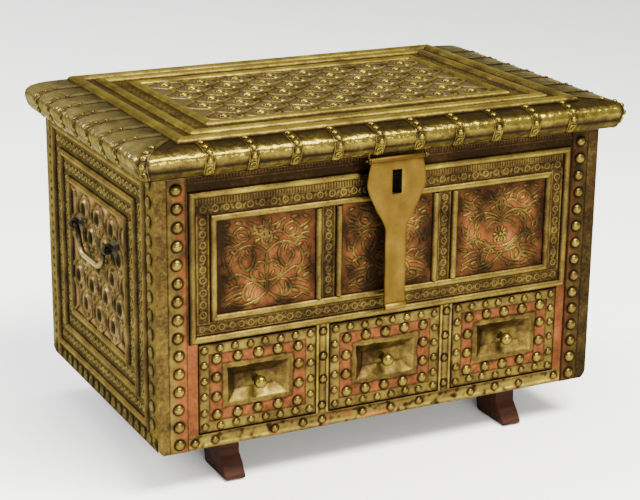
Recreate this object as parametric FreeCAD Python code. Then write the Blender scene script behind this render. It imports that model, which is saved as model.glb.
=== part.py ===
import FreeCAD, Part
import math
import os
from FreeCAD import Vector

# Dowry chest with a cushion-edged lid, three drawers and brass sheet cladding.
# Millimetres. X to the right, Y to the back, Z up. The frame's origin is on the floor,
# under the middle of the whole object.

# Body
BODY_WIDTH = 600.0
BODY_DEPTH = 378.0
BODY_HEIGHT = 340.0
FOOT_HEIGHT = 54.0
BASE_ROUND = 12.0
BASE_LIP = 3.0

# Boards
SIDE_BOARD = 16.0
BACK_BOARD = 14.0
FRONT_BOARD = 14.0
BASE_BOARD = 18.0
FLOOR_BOARD = 12.0
POST_FACE = 50.5
POST_DEPTH = 30.0
DIVIDER = 17.0
GUIDE_WIDTH = 8.0
GUIDE_HEIGHT = 12.0

# Sheet metal
SHEET = 1.0
CORNER_STRIP = 38.0
CORNER_RETURN = 25.0

# Drawers
BAY_HEIGHT = 115.0
DRAWER_GAP = 1.5
DRAWER_SLIP = 0.3
DRAWER_LIFT = 2.5
DRAWER_FRONT = 13.0
DRAWER_BACK_GAP = 18.0
DRAWER_SIDE = 8.0
DRAWER_SIDE_HEIGHT = 84.0
DRAWER_BOTTOM = 5.0
RECESS_WIDTH = 80.0
RECESS_HEIGHT = 44.0
RECESS_DEPTH = 10.0
RECESS_SLOPE = 11.0
RECESS_RIM = 6.0
KNOB_RADIUS = 8.0
KNOB_LENGTH = 24.0
KNOB_STEM = 3.2
KNOB_COLLAR = 5.5
KNOB_WAIST = 2.6
KNOB_NECK_SHARE = 0.42
KNOB_BALL_SHARE = 0.45
KNOB_SHANK = 2.0
SHANK_FIT = 0.06

# Front frames
FRAME_MARGIN = 40.0
FRAME_TOP_MARGIN = 22.0
OUTER_ROD = 9.5
INNER_ROD = 9.0
ROD_PROUD = 4.6
FRONT_BAND_SIDE = 27.0
FRONT_BAND_TOP = 29.5
FRONT_BAND_FOOT = 25.0
MULLION_STRIP = 18.0
MULLION_PITCH = 159.0

# Side frames
SIDE_FRAME_MARGIN = 27.0
SIDE_FRAME_FOOT = 25.0
SIDE_FRAME_TOP = 10.0
SIDE_FRAME_PITCH = 29.5
SIDE_ROD = 10.0
SIDE_FRAMES = 3

# Openwork lattice
LATTICE_SHEET = 1.2
LATTICE_PITCH = 49.0
LATTICE_ROW = 31.0
LATTICE_BAR = 6.0
LATTICE_EDGE = 4.0

# Lid
LID_GAP = 0.2
LID_OVERHANG = 28.0
LID_THICK = 35.0
LID_CORNER = 20.0
LID_CORNER_LEAST = 1.0
LID_FRAME_SIDE = 30.0
LID_FRAME_FRONT = 3.0
LID_OUTER_ROD = 17.0
LID_MIDDLE_ROD = 14.0
LID_INNER_ROD = 13.0
LID_CHANNEL = 10.0
LID_BAND = 20.0
LID_ROD_PROUD = 5.0

# Cushion edge of the lid: shares of the overhang outwards, of the thickness upwards
EDGE_SHARES = [(0.68, 0.0), (0.80, 0.14), (0.93, 0.34), (1.0, 0.57), (0.91, 0.77),
               (0.61, 0.885), (0.18, 0.95), (-0.36, 0.985), (-1.10, 1.0)]

# Straps over the cushion edge
STRAP_WIDTH = 13.0
STRAP_THICK = 1.2
STRAP_END = 57.0
HALF_STRAPS = 5
STRAP_HASP_GAP = 2.5
SIDE_STRAPS = 7
NAIL_RADIUS = 4.6
NAIL_DOME = 3.0
NAIL_RISE_SHARE = 0.60
NAIL_CROWN_SHARE = 0.55

# Hasp
HASP_STAND = 20.0
HASP_DROP = 5.5
HASP_LENGTH = 188.5
HASP_PLATE = 2.5
HASP_TOP = 72.0
HASP_SHOULDER = 6.0
HASP_BULB = 80.0
HASP_STEM = 28.5
HASP_WAIST = 54.0
HASP_BULB_AT = 29.5
HASP_WAIST_AT = 62.0
HASP_STEM_AT = 86.0
HASP_BARREL = 3.5
HASP_LIP = 4.2
SLOT_WIDTH = 13.0
SLOT_HEIGHT = 30.0
SLOT_AT = 13.5
PIN_RADIUS = 1.5
PIN_FIT = 0.06
PIN_OVERHANG = 7.0
EYE_WIRE = 1.2
EYE_GAP = 0.8
EYE_SHANK = 16.0

# Lid hinges
HINGE_END_GAP = 42.0
HINGE_LEAF = 60.0
HINGE_LEAF_HEIGHT = 28.0
HINGE_SHEET = 2.0
HINGE_BARREL = 4.5
HINGE_BORE_FIT = 0.06
HINGE_PIN = 2.0
HINGE_MIDDLE = 22.0
HINGE_SIDE_GAP = 0.4
HINGE_OFF = 0.5

# Side handles
EYE_HEIGHT_SHARE = 0.7545
EYE_SPREAD_SHARE = 0.64516
EYE_STAND = 11.0
EYE_SHANK_SIDE = 4.0
RING_WALL = 4.2
RING_LENGTH = 4.2
ROSETTE_RADIUS = 12.0
ROSETTE_SHEET = 1.6
BAIL_ROD = 3.3
BAIL_FIT = 0.06
BAIL_SIDES = 8
BAIL_END = 7.0
BAIL_TURN = 9.0
BAIL_BEND = 22.0

# Feet, in the plane that faces the side: back from the body's front face, and shares of the height
FOOT_WIDTH = 27.0
FOOT_INSET = 103.0
FOOT_TOE = 8.0
FOOT_INSTEP = 28.0
FOOT_HEEL = 74.0
FOOT_HEEL_TOP = 96.0
FOOT_INSTEP_SHARE = 0.55
FOOT_TOE_SHARE = 0.12
FOOT_HOLLOW_SHARE = 0.12
FOOT_RISE_SHARE = 0.06

# Flats round a small turned piece
TURN_SIDES = 16

# One overrun for all cuts
OVERRUN = 5.0

# Places worked out from the sizes above
HALF_WIDTH = BODY_WIDTH / 2
FRONT_Y = -BODY_DEPTH / 2
BACK_Y = BODY_DEPTH / 2
BASE_Z = FOOT_HEIGHT
RIM_Z = BASE_Z + BODY_HEIGHT
BAY_Z = BASE_Z + BASE_BOARD
BAY_TOP_Z = BAY_Z + BAY_HEIGHT
WOOD_X = HALF_WIDTH - SHEET
WOOD_FRONT = FRONT_Y + SHEET
WOOD_BACK = BACK_Y - SHEET
INNER_X = WOOD_X - SIDE_BOARD
POST_X = HALF_WIDTH - POST_FACE
BAY_WIDTH = (POST_X + POST_X - DIVIDER - DIVIDER) / 3
DIVIDER_X = BAY_WIDTH / 2
INNER_BACK = WOOD_BACK - BACK_BOARD
FLOOR_TOP_Z = BAY_TOP_Z + FLOOR_BOARD
FRAME_X = HALF_WIDTH - FRAME_MARGIN
FRAME_TOP_Z = RIM_Z - FRAME_TOP_MARGIN
INNER_FRAME_X = FRAME_X - FRONT_BAND_SIDE
INNER_FRAME_Z = BAY_TOP_Z + FRONT_BAND_FOOT
INNER_FRAME_TOP_Z = FRAME_TOP_Z - FRONT_BAND_TOP
MULLION_X = MULLION_PITCH / 2
PANEL_Z = INNER_FRAME_Z + INNER_ROD
PANEL_TOP_Z = INNER_FRAME_TOP_Z - INNER_ROD
SIDE_LOW_Z = BASE_Z + SIDE_FRAME_FOOT
SIDE_HIGH_Z = RIM_Z - SIDE_FRAME_TOP
SIDE_MIDDLE_Z = (SIDE_LOW_Z + SIDE_HIGH_Z) / 2
SIDE_INSET = SIDE_FRAME_PITCH * (SIDE_FRAMES - 1) + SIDE_ROD
SIDE_PANEL_WIDE = BODY_DEPTH - (SIDE_FRAME_MARGIN + SIDE_INSET) * 2
SIDE_PANEL_TALL = SIDE_HIGH_Z - SIDE_LOW_Z - SIDE_INSET * 2
EYE_SPREAD = SIDE_PANEL_WIDE / 2 * EYE_SPREAD_SHARE
EYE_Z = SIDE_MIDDLE_Z + SIDE_PANEL_TALL * (EYE_HEIGHT_SHARE - 1 / 2)
LID_Z = RIM_Z + LID_GAP
LID_TOP_Z = LID_Z + LID_THICK
NOSE = LID_OVERHANG + STRAP_THICK + NAIL_DOME
RING_RADIUS = BAIL_ROD + BAIL_FIT + RING_WALL
HINGE_X = HALF_WIDTH - CORNER_STRIP - HINGE_END_GAP - HINGE_LEAF / 2
HINGE_Y = BACK_Y + HINGE_OFF + HINGE_BARREL
HINGE_Z = RIM_Z
# The box is centred on the origin: its front is the nails on the lid's nose, its back the hinge barrels
SHIFT_Y = (BODY_DEPTH / 2 + NOSE - HINGE_Y - HINGE_BARREL) / 2


def block(x0, x1, y0, y1, z0, z1):
    return Part.makeBox(x1 - x0, y1 - y0, z1 - z0, Vector(x0, y0, z0))


def line(a, b):
    return Part.LineSegment(a, b).toShape()


def quarter(start, corner, end):
    """A quarter circle from start to end, touching both sides of the corner between them."""
    middle = start + end - corner
    crown = middle + (corner - middle) * math.sin(math.pi / 4)
    return Part.Arc(start, crown, end).toShape()


def outline(points):
    return Part.Wire([line(a, b) for a, b in zip(points, points[1:] + points[:1])])


def prism(points, along):
    return Part.Face(outline(points)).extrude(along)


def mirrored(shape):
    return shape.mirror(Vector(0, 0, 0), Vector(1, 0, 0))


def save(name, shapes):
    body = Part.makeCompound(shapes) if len(shapes) > 1 else shapes[0].copy()
    body.translate(Vector(0, SHIFT_Y, 0))
    body.exportStep("parts/" + name + ".step")


def save_pair(name, shapes):
    save(name + "_right", shapes)
    save(name + "_left", [mirrored(shape) for shape in shapes])


def on_front(shape, x, z, y):
    """Lay a piece drawn flat, proud side up, against the chest's front."""
    laid = shape.copy()
    laid.rotate(Vector(0, 0, 0), Vector(1, 0, 0), 90)
    laid.translate(Vector(x, y, z))
    return laid


def on_right_side(shape, y, z, x):
    """Lay a piece drawn flat, proud side up, against the chest's right side."""
    laid = shape.copy()
    laid.rotate(Vector(0, 0, 0), Vector(1, 1, 1), 120)
    laid.translate(Vector(x, y, z))
    return laid


def half_round(length, width, proud):
    """A half-round rod along X, its outer edge on Y = 0, with mitred ends."""
    start = Vector(-length / 2, 0, 0)
    inner = start + Vector(0, width, 0)
    crown = start + Vector(0, width / 2, proud)
    section = Part.Wire([Part.Arc(start, crown, inner).toShape(), line(inner, start)])
    rod = Part.Face(section).extrude(Vector(length, 0, 0))
    mitre = [start, Vector(length / 2, 0, 0), Vector(length / 2 - width, width, 0),
             inner + Vector(width, 0, 0)]
    return rod.common(prism(mitre, Vector(0, 0, proud + OVERRUN)))


def rod_frame(width, height, rod, proud):
    """Four mitred rods round a rectangle centred on the origin."""
    lengths = []
    for turn in range(4):
        along, across = (width, height) if turn % 2 == 0 else (height, width)
        piece = half_round(along, rod, proud)
        piece.translate(Vector(0, -across / 2, 0))
        piece.rotate(Vector(0, 0, 0), Vector(0, 0, 1), 90 * turn)
        lengths.append(piece)
    return lengths


def straight_rod(length, width, proud):
    """A half-round rod along Y, centred on the origin, with square ends."""
    left = Vector(-width / 2, -length / 2, 0)
    right = left + Vector(width, 0, 0)
    crown = left + Vector(width / 2, 0, proud)
    section = Part.Wire([Part.Arc(left, crown, right).toShape(), line(right, left)])
    return Part.Face(section).extrude(Vector(0, length, 0))


def turned(profile):
    """A turned piece along Z from (radius, height) pairs, in flats fine enough to look round."""
    rings = []
    for radius, height in profile:
        points = []
        for number in range(TURN_SIDES):
            angle = math.tau * number / TURN_SIDES
            points.append(Vector(radius * math.cos(angle), radius * math.sin(angle), height))
        rings.append(points)
    faces = [Part.Face(outline(rings[0])), Part.Face(outline(rings[-1]))]
    for low, high in zip(rings, rings[1:]):
        for number in range(TURN_SIDES):
            corners = [low[number - 1], low[number], high[number], high[number - 1]]
            faces.append(Part.Face(outline(corners)))
    shell = Part.makeShell(faces)
    shell.sewShape()
    solid = Part.makeSolid(shell)
    if solid.Volume < 0:
        solid.reverse()
    return solid


def lozenge_hole(half_width, half_height):
    """A pointed lozenge, standing on one corner."""
    points = [Vector(0, -half_height, 0), Vector(half_width, 0, 0), Vector(0, half_height, 0),
              Vector(-half_width, 0, 0)]
    return prism(points, Vector(0, 0, LATTICE_SHEET + OVERRUN))


def lattice(width, height):
    """A pierced net of staggered lozenges inside a plain margin, lying on Z = 0."""
    plate = block(-width / 2, width / 2, -height / 2, height / 2, 0, LATTICE_SHEET)
    hole = lozenge_hole(LATTICE_PITCH / 2 - LATTICE_BAR / 2, LATTICE_ROW - LATTICE_BAR / 2)
    window = block(LATTICE_EDGE - width / 2, width / 2 - LATTICE_EDGE, LATTICE_EDGE - height / 2,
                   height / 2 - LATTICE_EDGE, -OVERRUN, LATTICE_SHEET + OVERRUN)
    rows = int(height / LATTICE_ROW / 2) + 1
    columns = int(width / LATTICE_PITCH / 2) + 1
    holes = []
    for row in range(-rows, rows + 1):
        stagger = LATTICE_PITCH / 2 if row % 2 else 0
        for column in range(-columns - 1, columns + 1):
            piece = hole.copy()
            piece.translate(Vector(column * LATTICE_PITCH + stagger, row * LATTICE_ROW, -OVERRUN / 2))
            if piece.BoundBox.intersect(window.BoundBox):
                kept = piece.common(window)
                if kept.Volume > LATTICE_BAR * LATTICE_BAR * LATTICE_SHEET:
                    holes.append(kept)
    return plate.cut(Part.makeCompound(holes))


def rounded_prism(grow, y0, y1):
    """The body's block with its two long lower edges rounded, grown outwards by a sheet."""
    solid = block(-HALF_WIDTH - grow, HALF_WIDTH + grow, y0, y1, BASE_Z - SHEET - grow, RIM_Z)
    low = [edge for edge in solid.Edges if edge.BoundBox.ZMax < BAY_Z and edge.BoundBox.YLength > SHEET / 2
           and edge.BoundBox.XLength < SHEET / 2]
    return solid.makeFillet(BASE_ROUND + SHEET + grow, low)


def make_carcass():
    base = block(-WOOD_X, WOOD_X, WOOD_FRONT, WOOD_BACK, BASE_Z, BAY_Z)
    base = base.common(rounded_prism(-SHEET, WOOD_FRONT, WOOD_BACK))
    side = block(INNER_X, WOOD_X, WOOD_FRONT, WOOD_BACK, BAY_Z, RIM_Z)
    back = block(-INNER_X, INNER_X, INNER_BACK, WOOD_BACK, BAY_Z, RIM_Z)
    front = block(-POST_X, POST_X, WOOD_FRONT, WOOD_FRONT + FRONT_BOARD, BAY_TOP_Z, RIM_Z)
    post = block(POST_X, INNER_X, WOOD_FRONT, WOOD_FRONT + POST_DEPTH, BAY_Z, RIM_Z)
    floor = block(-INNER_X, INNER_X, WOOD_FRONT + FRONT_BOARD, INNER_BACK, BAY_TOP_Z, FLOOR_TOP_Z)
    floor = floor.cut(post).cut(mirrored(post))
    divider = block(DIVIDER_X, DIVIDER_X + DIVIDER, WOOD_FRONT, INNER_BACK, BAY_Z, BAY_TOP_Z)
    guide = block(POST_X, POST_X + GUIDE_WIDTH, WOOD_FRONT + POST_DEPTH, INNER_BACK, BAY_Z,
                  BAY_Z + GUIDE_HEIGHT)
    for y in (-EYE_SPREAD, EYE_SPREAD):
        side = side.cut(eye_shank(y, EYE_Z))
    save("base_board", [base])
    save_pair("side_board", [side])
    save("back_board", [back])
    save("front_board", [front])
    save_pair("corner_post", [post])
    save("chest_floor", [floor])
    save_pair("drawer_divider", [divider])
    save("drawer_guides", [guide, mirrored(guide)])


def make_feet():
    """Feet cut from one board each: hollow instep, toe swept out, heel leaning back."""
    toe = FRONT_Y + FOOT_TOE
    instep = FRONT_Y + FOOT_INSTEP
    top = Vector(0, instep, FOOT_HEIGHT)
    knee = Vector(0, instep, FOOT_HEIGHT * FOOT_INSTEP_SHARE)
    tip = Vector(0, toe, FOOT_HEIGHT * FOOT_TOE_SHARE)
    sole = Vector(0, toe, 0)
    heel = Vector(0, FRONT_Y + FOOT_HEEL, 0)
    heel_top = Vector(0, FRONT_Y + FOOT_HEEL_TOP, FOOT_HEIGHT)
    deep = (instep - toe) * FOOT_HOLLOW_SHARE
    hollow = (knee + tip) / 2 + Vector(0, deep, (knee.z - tip.z) * FOOT_RISE_SHARE)
    cove = (heel + heel_top) / 2 - Vector(0, (FOOT_HEEL_TOP - FOOT_HEEL) * FOOT_HOLLOW_SHARE, 0)
    edges = [line(top, knee), Part.Arc(knee, hollow, tip).toShape(), line(tip, sole), line(sole, heel),
             Part.Arc(heel, cove, heel_top).toShape(), line(heel_top, top)]
    foot = Part.Face(Part.Wire(edges)).extrude(Vector(FOOT_WIDTH, 0, 0))
    foot.translate(Vector(HALF_WIDTH - FOOT_INSET - FOOT_WIDTH / 2, 0, 0))
    save_pair("front_foot", [foot])
    save_pair("back_foot", [foot.mirror(Vector(0, 0, 0), Vector(0, 1, 0))])


def make_front_cladding():
    face = [FRONT_Y, WOOD_FRONT]
    panel_z = [PANEL_Z, PANEL_TOP_Z]
    strip = MULLION_STRIP / 2
    mullion_in = MULLION_X - strip - INNER_ROD
    mullion_out = MULLION_X + strip + INNER_ROD
    windows = [(-mullion_in, mullion_in), (mullion_out, INNER_FRAME_X - INNER_ROD),
               (INNER_ROD - INNER_FRAME_X, -mullion_out)]
    sheet = block(-HALF_WIDTH, HALF_WIDTH, face[0], face[1], BAY_TOP_Z, RIM_Z)
    copper = []
    for low, high in windows:
        pane = block(low, high, face[0], face[1], panel_z[0], panel_z[1])
        sheet = sheet.cut(pane)
        copper.append(pane)
    post = block(POST_X, HALF_WIDTH, face[0], face[1], BAY_Z, BAY_TOP_Z)
    rail = rounded_prism(0, face[0], face[1]).common(
        block(-HALF_WIDTH, HALF_WIDTH, face[0], face[1], BASE_Z, BAY_Z))
    divider = block(DIVIDER_X, DIVIDER_X + DIVIDER, face[0], face[1], BAY_Z, BAY_TOP_Z)
    save("front_sheet", [sheet])
    save("front_copper", copper + [post, mirrored(post)])
    save("rail_strip", [rail])
    save("divider_strips", [divider, mirrored(divider)])

    middle_z = (BAY_TOP_Z + FRAME_TOP_Z) / 2
    outer = rod_frame(FRAME_X + FRAME_X, FRAME_TOP_Z - BAY_TOP_Z, OUTER_ROD, ROD_PROUD)
    save("outer_frame", [on_front(rod, 0, middle_z, FRONT_Y) for rod in outer])
    middle_z = (INNER_FRAME_Z + INNER_FRAME_TOP_Z) / 2
    inner = rod_frame(INNER_FRAME_X + INNER_FRAME_X, INNER_FRAME_TOP_Z - INNER_FRAME_Z, INNER_ROD, ROD_PROUD)
    save("inner_frame", [on_front(rod, 0, middle_z, FRONT_Y) for rod in inner])
    rod = straight_rod(PANEL_TOP_Z - PANEL_Z, INNER_ROD, ROD_PROUD)
    reach = (MULLION_STRIP + INNER_ROD) / 2
    places = [side * MULLION_X + off for side in (-1, 1) for off in (-reach, reach)]
    save("mullions", [on_front(rod, x, (PANEL_Z + PANEL_TOP_Z) / 2, FRONT_Y) for x in places])


def make_corner_strips():
    proud_front = FRONT_Y - SHEET
    proud_side = HALF_WIDTH + SHEET
    front_leg = block(HALF_WIDTH - CORNER_STRIP, proud_side, proud_front, FRONT_Y, BASE_Z, RIM_Z)
    side_leg = block(HALF_WIDTH, proud_side, proud_front, FRONT_Y + CORNER_RETURN,
                     BASE_Z + BASE_ROUND, RIM_Z)
    front = front_leg.fuse(side_leg).removeSplitter()
    front = front.common(rounded_prism(SHEET, proud_front, BACK_Y))
    back = front.mirror(Vector(0, 0, 0), Vector(0, 1, 0))
    save("front_corners", [front, mirrored(front)])
    save("back_corners", [back, mirrored(back)])


def eye_shank(y, z):
    half = EYE_SHANK_SIDE / 2
    tip = HALF_WIDTH + EYE_STAND - BAIL_ROD - BAIL_FIT - RING_WALL / 2
    return block(INNER_X, tip, y - half, y + half, z - half, z + half)


def make_side_cladding():
    wide = BODY_DEPTH - SIDE_FRAME_MARGIN - SIDE_FRAME_MARGIN
    tall = SIDE_HIGH_Z - SIDE_LOW_Z
    frames = []
    for number in range(SIDE_FRAMES):
        step = number * SIDE_FRAME_PITCH
        for rod in rod_frame(wide - step - step, tall - step - step, SIDE_ROD, ROD_PROUD):
            frames.append(on_right_side(rod, 0, SIDE_MIDDLE_Z, HALF_WIDTH))
    save_pair("side_frames", frames)

    shell = rounded_prism(0, WOOD_FRONT, WOOD_BACK).cut(rounded_prism(-SHEET, WOOD_FRONT, WOOD_BACK))
    reach = HALF_WIDTH - BASE_ROUND - SHEET
    sheet = shell.common(block(reach, HALF_WIDTH, WOOD_FRONT, WOOD_BACK, BASE_Z + BASE_LIP, RIM_Z))
    pane = block(WOOD_X, HALF_WIDTH, -SIDE_PANEL_WIDE / 2, SIDE_PANEL_WIDE / 2,
                 SIDE_MIDDLE_Z - SIDE_PANEL_TALL / 2, SIDE_MIDDLE_Z + SIDE_PANEL_TALL / 2)
    sheet = sheet.cut(pane)
    net = on_right_side(lattice(SIDE_PANEL_WIDE, SIDE_PANEL_TALL), 0, SIDE_MIDDLE_Z, HALF_WIDTH)
    for y in (-EYE_SPREAD, EYE_SPREAD):
        shank = eye_shank(y, EYE_Z)
        pane = pane.cut(shank)
        net = net.cut(shank)
    save_pair("side_sheet", [sheet])
    save("side_copper", [pane, mirrored(pane)])
    save_pair("side_lattice", [net])


def make_handles():
    """Two eyes driven through each side, and a bail that hangs in them."""
    pivot_x = HALF_WIDTH + EYE_STAND
    pivot_z = EYE_Z
    rosette_x = HALF_WIDTH + LATTICE_SHEET
    eyes = []
    for y in (-EYE_SPREAD, EYE_SPREAD):
        start = Vector(pivot_x, y - RING_LENGTH / 2, pivot_z)
        ring = Part.makeCylinder(RING_RADIUS, RING_LENGTH, start, Vector(0, 1, 0))
        plate = turned([(ROSETTE_RADIUS, 0), (ROSETTE_RADIUS, ROSETTE_SHEET)])
        plate.rotate(Vector(0, 0, 0), Vector(0, 1, 0), 90)
        plate.translate(Vector(rosette_x, y, pivot_z))
        bore = Part.makeCylinder(BAIL_ROD + BAIL_FIT, RING_LENGTH, start, Vector(0, 1, 0))
        eyes.append(ring.fuse(eye_shank(y, pivot_z)).fuse(plate).cut(bore))
    save("handle_eyes", eyes + [mirrored(eye) for eye in eyes])

    end = Vector(0, -EYE_SPREAD - BAIL_END, 0)
    turn = Vector(0, BAIL_END - EYE_SPREAD, 0)
    leg = turn + Vector(0, BAIL_TURN, -BAIL_TURN)
    grip = leg + Vector(0, BAIL_BEND, -BAIL_BEND)

    def opposite(point):
        return Vector(0, -point.y, point.z)

    edges = [line(end, turn), quarter(turn, Vector(0, leg.y, turn.z), leg),
             quarter(leg, Vector(0, leg.y, grip.z), grip), line(grip, opposite(grip)),
             quarter(opposite(grip), Vector(0, -leg.y, grip.z), opposite(leg)),
             quarter(opposite(leg), Vector(0, -leg.y, turn.z), opposite(turn)),
             line(opposite(turn), opposite(end))]
    path = Part.Wire(edges)
    flats = []
    for number in range(BAIL_SIDES):
        angle = math.pi * (number + number + 1) / BAIL_SIDES
        flats.append(end + Vector(math.cos(angle), 0, math.sin(angle)) * BAIL_ROD)
    section = outline(flats)
    bail = path.makePipeShell([section], True, False)
    bail.translate(Vector(pivot_x, 0, pivot_z))
    save_pair("side_bail", [bail])


def make_drawers():
    low = BAY_Z + DRAWER_SLIP
    face_z = BAY_Z + DRAWER_LIFT
    face_top = BAY_TOP_Z - DRAWER_LIFT
    middle_z = (face_z + face_top) / 2
    half = BAY_WIDTH / 2 - DRAWER_GAP
    wood_y = FRONT_Y + SHEET
    back_y = INNER_BACK - DRAWER_BACK_GAP
    joint_y = wood_y + DRAWER_FRONT

    def dish(grow, depth):
        """The sloped recess, a tapered block from the face inwards."""
        across = RECESS_WIDTH / 2 + grow
        up = RECESS_HEIGHT / 2 + grow
        low = middle_z - up
        high = middle_z + up
        well = Part.makeWedge(-across, FRONT_Y, low, low + RECESS_SLOPE, RECESS_SLOPE - across,
                              across, FRONT_Y + depth, high, high - RECESS_SLOPE, across - RECESS_SLOPE)
        return block(-across, across, FRONT_Y - SHEET, FRONT_Y, low, high).fuse(well)

    shank_hole = Part.makeCylinder(KNOB_SHANK + SHANK_FIT, DRAWER_FRONT + SHEET + OVERRUN,
                                   Vector(0, FRONT_Y, middle_z), Vector(0, 1, 0))
    tray = dish(SHEET, RECESS_DEPTH + SHEET)
    front = block(-half, half, wood_y, joint_y, face_z, face_top).cut(tray).cut(shank_hole)
    plate = block(-half, half, FRONT_Y, wood_y, face_z, face_top)
    rim_x = RECESS_WIDTH / 2 + RECESS_RIM
    rim_z = RECESS_HEIGHT / 2 + RECESS_RIM
    rim = block(-rim_x, rim_x, FRONT_Y - SHEET, FRONT_Y, middle_z - rim_z, middle_z + rim_z)
    inside = dish(0, RECESS_DEPTH)
    behind = block(-half, half, FRONT_Y, joint_y, face_z, face_top)
    face = plate.fuse(rim).fuse(tray.common(behind)).cut(inside).cut(shank_hole).removeSplitter()

    side_top = low + DRAWER_SIDE_HEIGHT
    side = block(half - DRAWER_SIDE, half, joint_y, back_y, low, side_top)
    back = block(DRAWER_SIDE - half, half - DRAWER_SIDE, back_y - DRAWER_SIDE, back_y, low, side_top)
    bottom = block(DRAWER_SIDE - half, half - DRAWER_SIDE, joint_y, back_y - DRAWER_SIDE, low,
                   low + DRAWER_BOTTOM)
    knob = make_knob(middle_z, joint_y)
    pitch = BAY_WIDTH + DIVIDER
    for name, x in (("left", -pitch), ("middle", 0), ("right", pitch)):
        groups = {"drawer_front_": [front], "drawer_face_": [face], "drawer_knob_": [knob],
                  "drawer_box_": [side, mirrored(side), back, bottom]}
        for group, solids in groups.items():
            moved = []
            for solid in solids:
                solid = solid.copy()
                solid.translate(Vector(x, 0, 0))
                moved.append(solid)
            save(group + name, moved)


def make_knob(z, joint_y):
    """A turned knob on the recess's floor, with a shank through the drawer's front."""
    seat = FRONT_Y + RECESS_DEPTH
    neck = KNOB_LENGTH * KNOB_NECK_SHARE
    flat = KNOB_RADIUS * KNOB_BALL_SHARE
    middle = (KNOB_LENGTH + neck) / 2
    head = turned([(KNOB_COLLAR, 0), (KNOB_WAIST, neck / 2), (KNOB_STEM, neck),
                   (KNOB_RADIUS, middle - flat / 2), (KNOB_RADIUS, middle + flat / 2),
                   (flat, KNOB_LENGTH)])
    shank = Part.makeCylinder(KNOB_SHANK, joint_y - seat, Vector(0, seat, z), Vector(0, 1, 0))
    return on_front(head, 0, z, seat).fuse(shank)


def lid_section(out, up):
    """A level section of the lid: square at the back, rounded at the two front corners."""
    half = HALF_WIDTH + out
    front = FRONT_Y - out
    radius = max(LID_CORNER - LID_OVERHANG + out, LID_CORNER_LEAST)
    z = LID_Z + up
    back_left = Vector(-half, BACK_Y, z)
    back_right = Vector(half, BACK_Y, z)
    right = Vector(half, front + radius, z)
    front_right = Vector(half - radius, front, z)
    front_left = Vector(radius - half, front, z)
    left = Vector(-half, front + radius, z)
    return Part.Wire([line(back_left, back_right), line(back_right, right),
                      quarter(right, Vector(half, front, z), front_right), line(front_right, front_left),
                      quarter(front_left, Vector(-half, front, z), left), line(left, back_left)])


def lid_solid(skin):
    sections = []
    for out_share, up_share in EDGE_SHARES:
        out = out_share * LID_OVERHANG - skin
        up = up_share * (LID_THICK - skin)
        sections.append(lid_section(out, up))
    return Part.makeLoft(sections, True, True)


def make_straps(outer):
    """Bands of one thin shell over the cushion edge, square to it and across its corners."""
    inner_x = HALF_WIDTH - LID_FRAME_SIDE
    inner_y = FRONT_Y + LID_FRAME_FRONT
    half = STRAP_WIDTH / 2
    reach = LID_OVERHANG + OVERRUN
    low = LID_Z - OVERRUN
    high = LID_TOP_Z + OVERRUN
    head = turned([(NAIL_RADIUS, 0), (NAIL_RADIUS * NAIL_CROWN_SHARE, NAIL_DOME)])
    nail = on_front(head, 0, LID_Z + LID_THICK * NAIL_RISE_SHARE, 0)
    nail_y = FRONT_Y - LID_OVERHANG - STRAP_THICK
    band = strap_prism().common(block(-half, half, FRONT_Y - reach, inner_y, low, high))
    side_band = band.copy()
    side_band.rotate(Vector(0, 0, 0), Vector(0, 0, 1), 90)
    side_band.translate(Vector(HALF_WIDTH + FRONT_Y, 0, 0))
    side_band = side_band.cut(block(0, inner_x, -half, half, low, high))
    straps = []
    nails = []
    first = HASP_TOP / 2 - STRAP_HASP_GAP - half
    pitch = (HALF_WIDTH - STRAP_END - first) / (HALF_STRAPS - 1)
    for number in range(HALF_STRAPS):
        for group, shape, y in ((straps, band, 0), (nails, nail, nail_y)):
            piece = shape.copy()
            piece.translate(Vector(first + number * pitch, y, 0))
            group += [piece, mirrored(piece)]
    pitch = (BACK_Y - inner_y) / (SIDE_STRAPS + 1)
    side_nail = nail.copy()
    side_nail.rotate(Vector(0, 0, 0), Vector(0, 0, 1), 90)
    side_nail.translate(Vector(HALF_WIDTH + FRONT_Y - nail_y, 0, 0))
    for number in range(SIDE_STRAPS):
        for group, shape in ((straps, side_band), (nails, side_nail)):
            piece = shape.copy()
            piece.translate(Vector(0, inner_y + (number + 1) * pitch, 0))
            group += [piece, mirrored(piece)]
    corner = block(0, LID_FRAME_SIDE + reach, -half, half, low, high)
    corner.rotate(Vector(0, 0, 0), Vector(0, 0, 1), -45)
    corner.translate(Vector(inner_x, inner_y, 0))
    corner = lid_solid(-STRAP_THICK).common(corner).cut(outer)
    return straps + corner.Solids + mirrored(corner).Solids + nails


def strap_prism():
    """A straight band over the front's cushion edge, as wide as a strap."""
    under = []
    over = []
    for out_share, up_share in EDGE_SHARES:
        out = out_share * LID_OVERHANG
        under.append(Vector(-STRAP_WIDTH / 2, FRONT_Y - out, LID_Z + up_share * LID_THICK))
        over.append(Vector(-STRAP_WIDTH / 2, FRONT_Y - out - STRAP_THICK,
                           LID_Z + up_share * (LID_THICK + STRAP_THICK)))
    return prism(under + over[::-1], Vector(STRAP_WIDTH, 0, 0))


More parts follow.
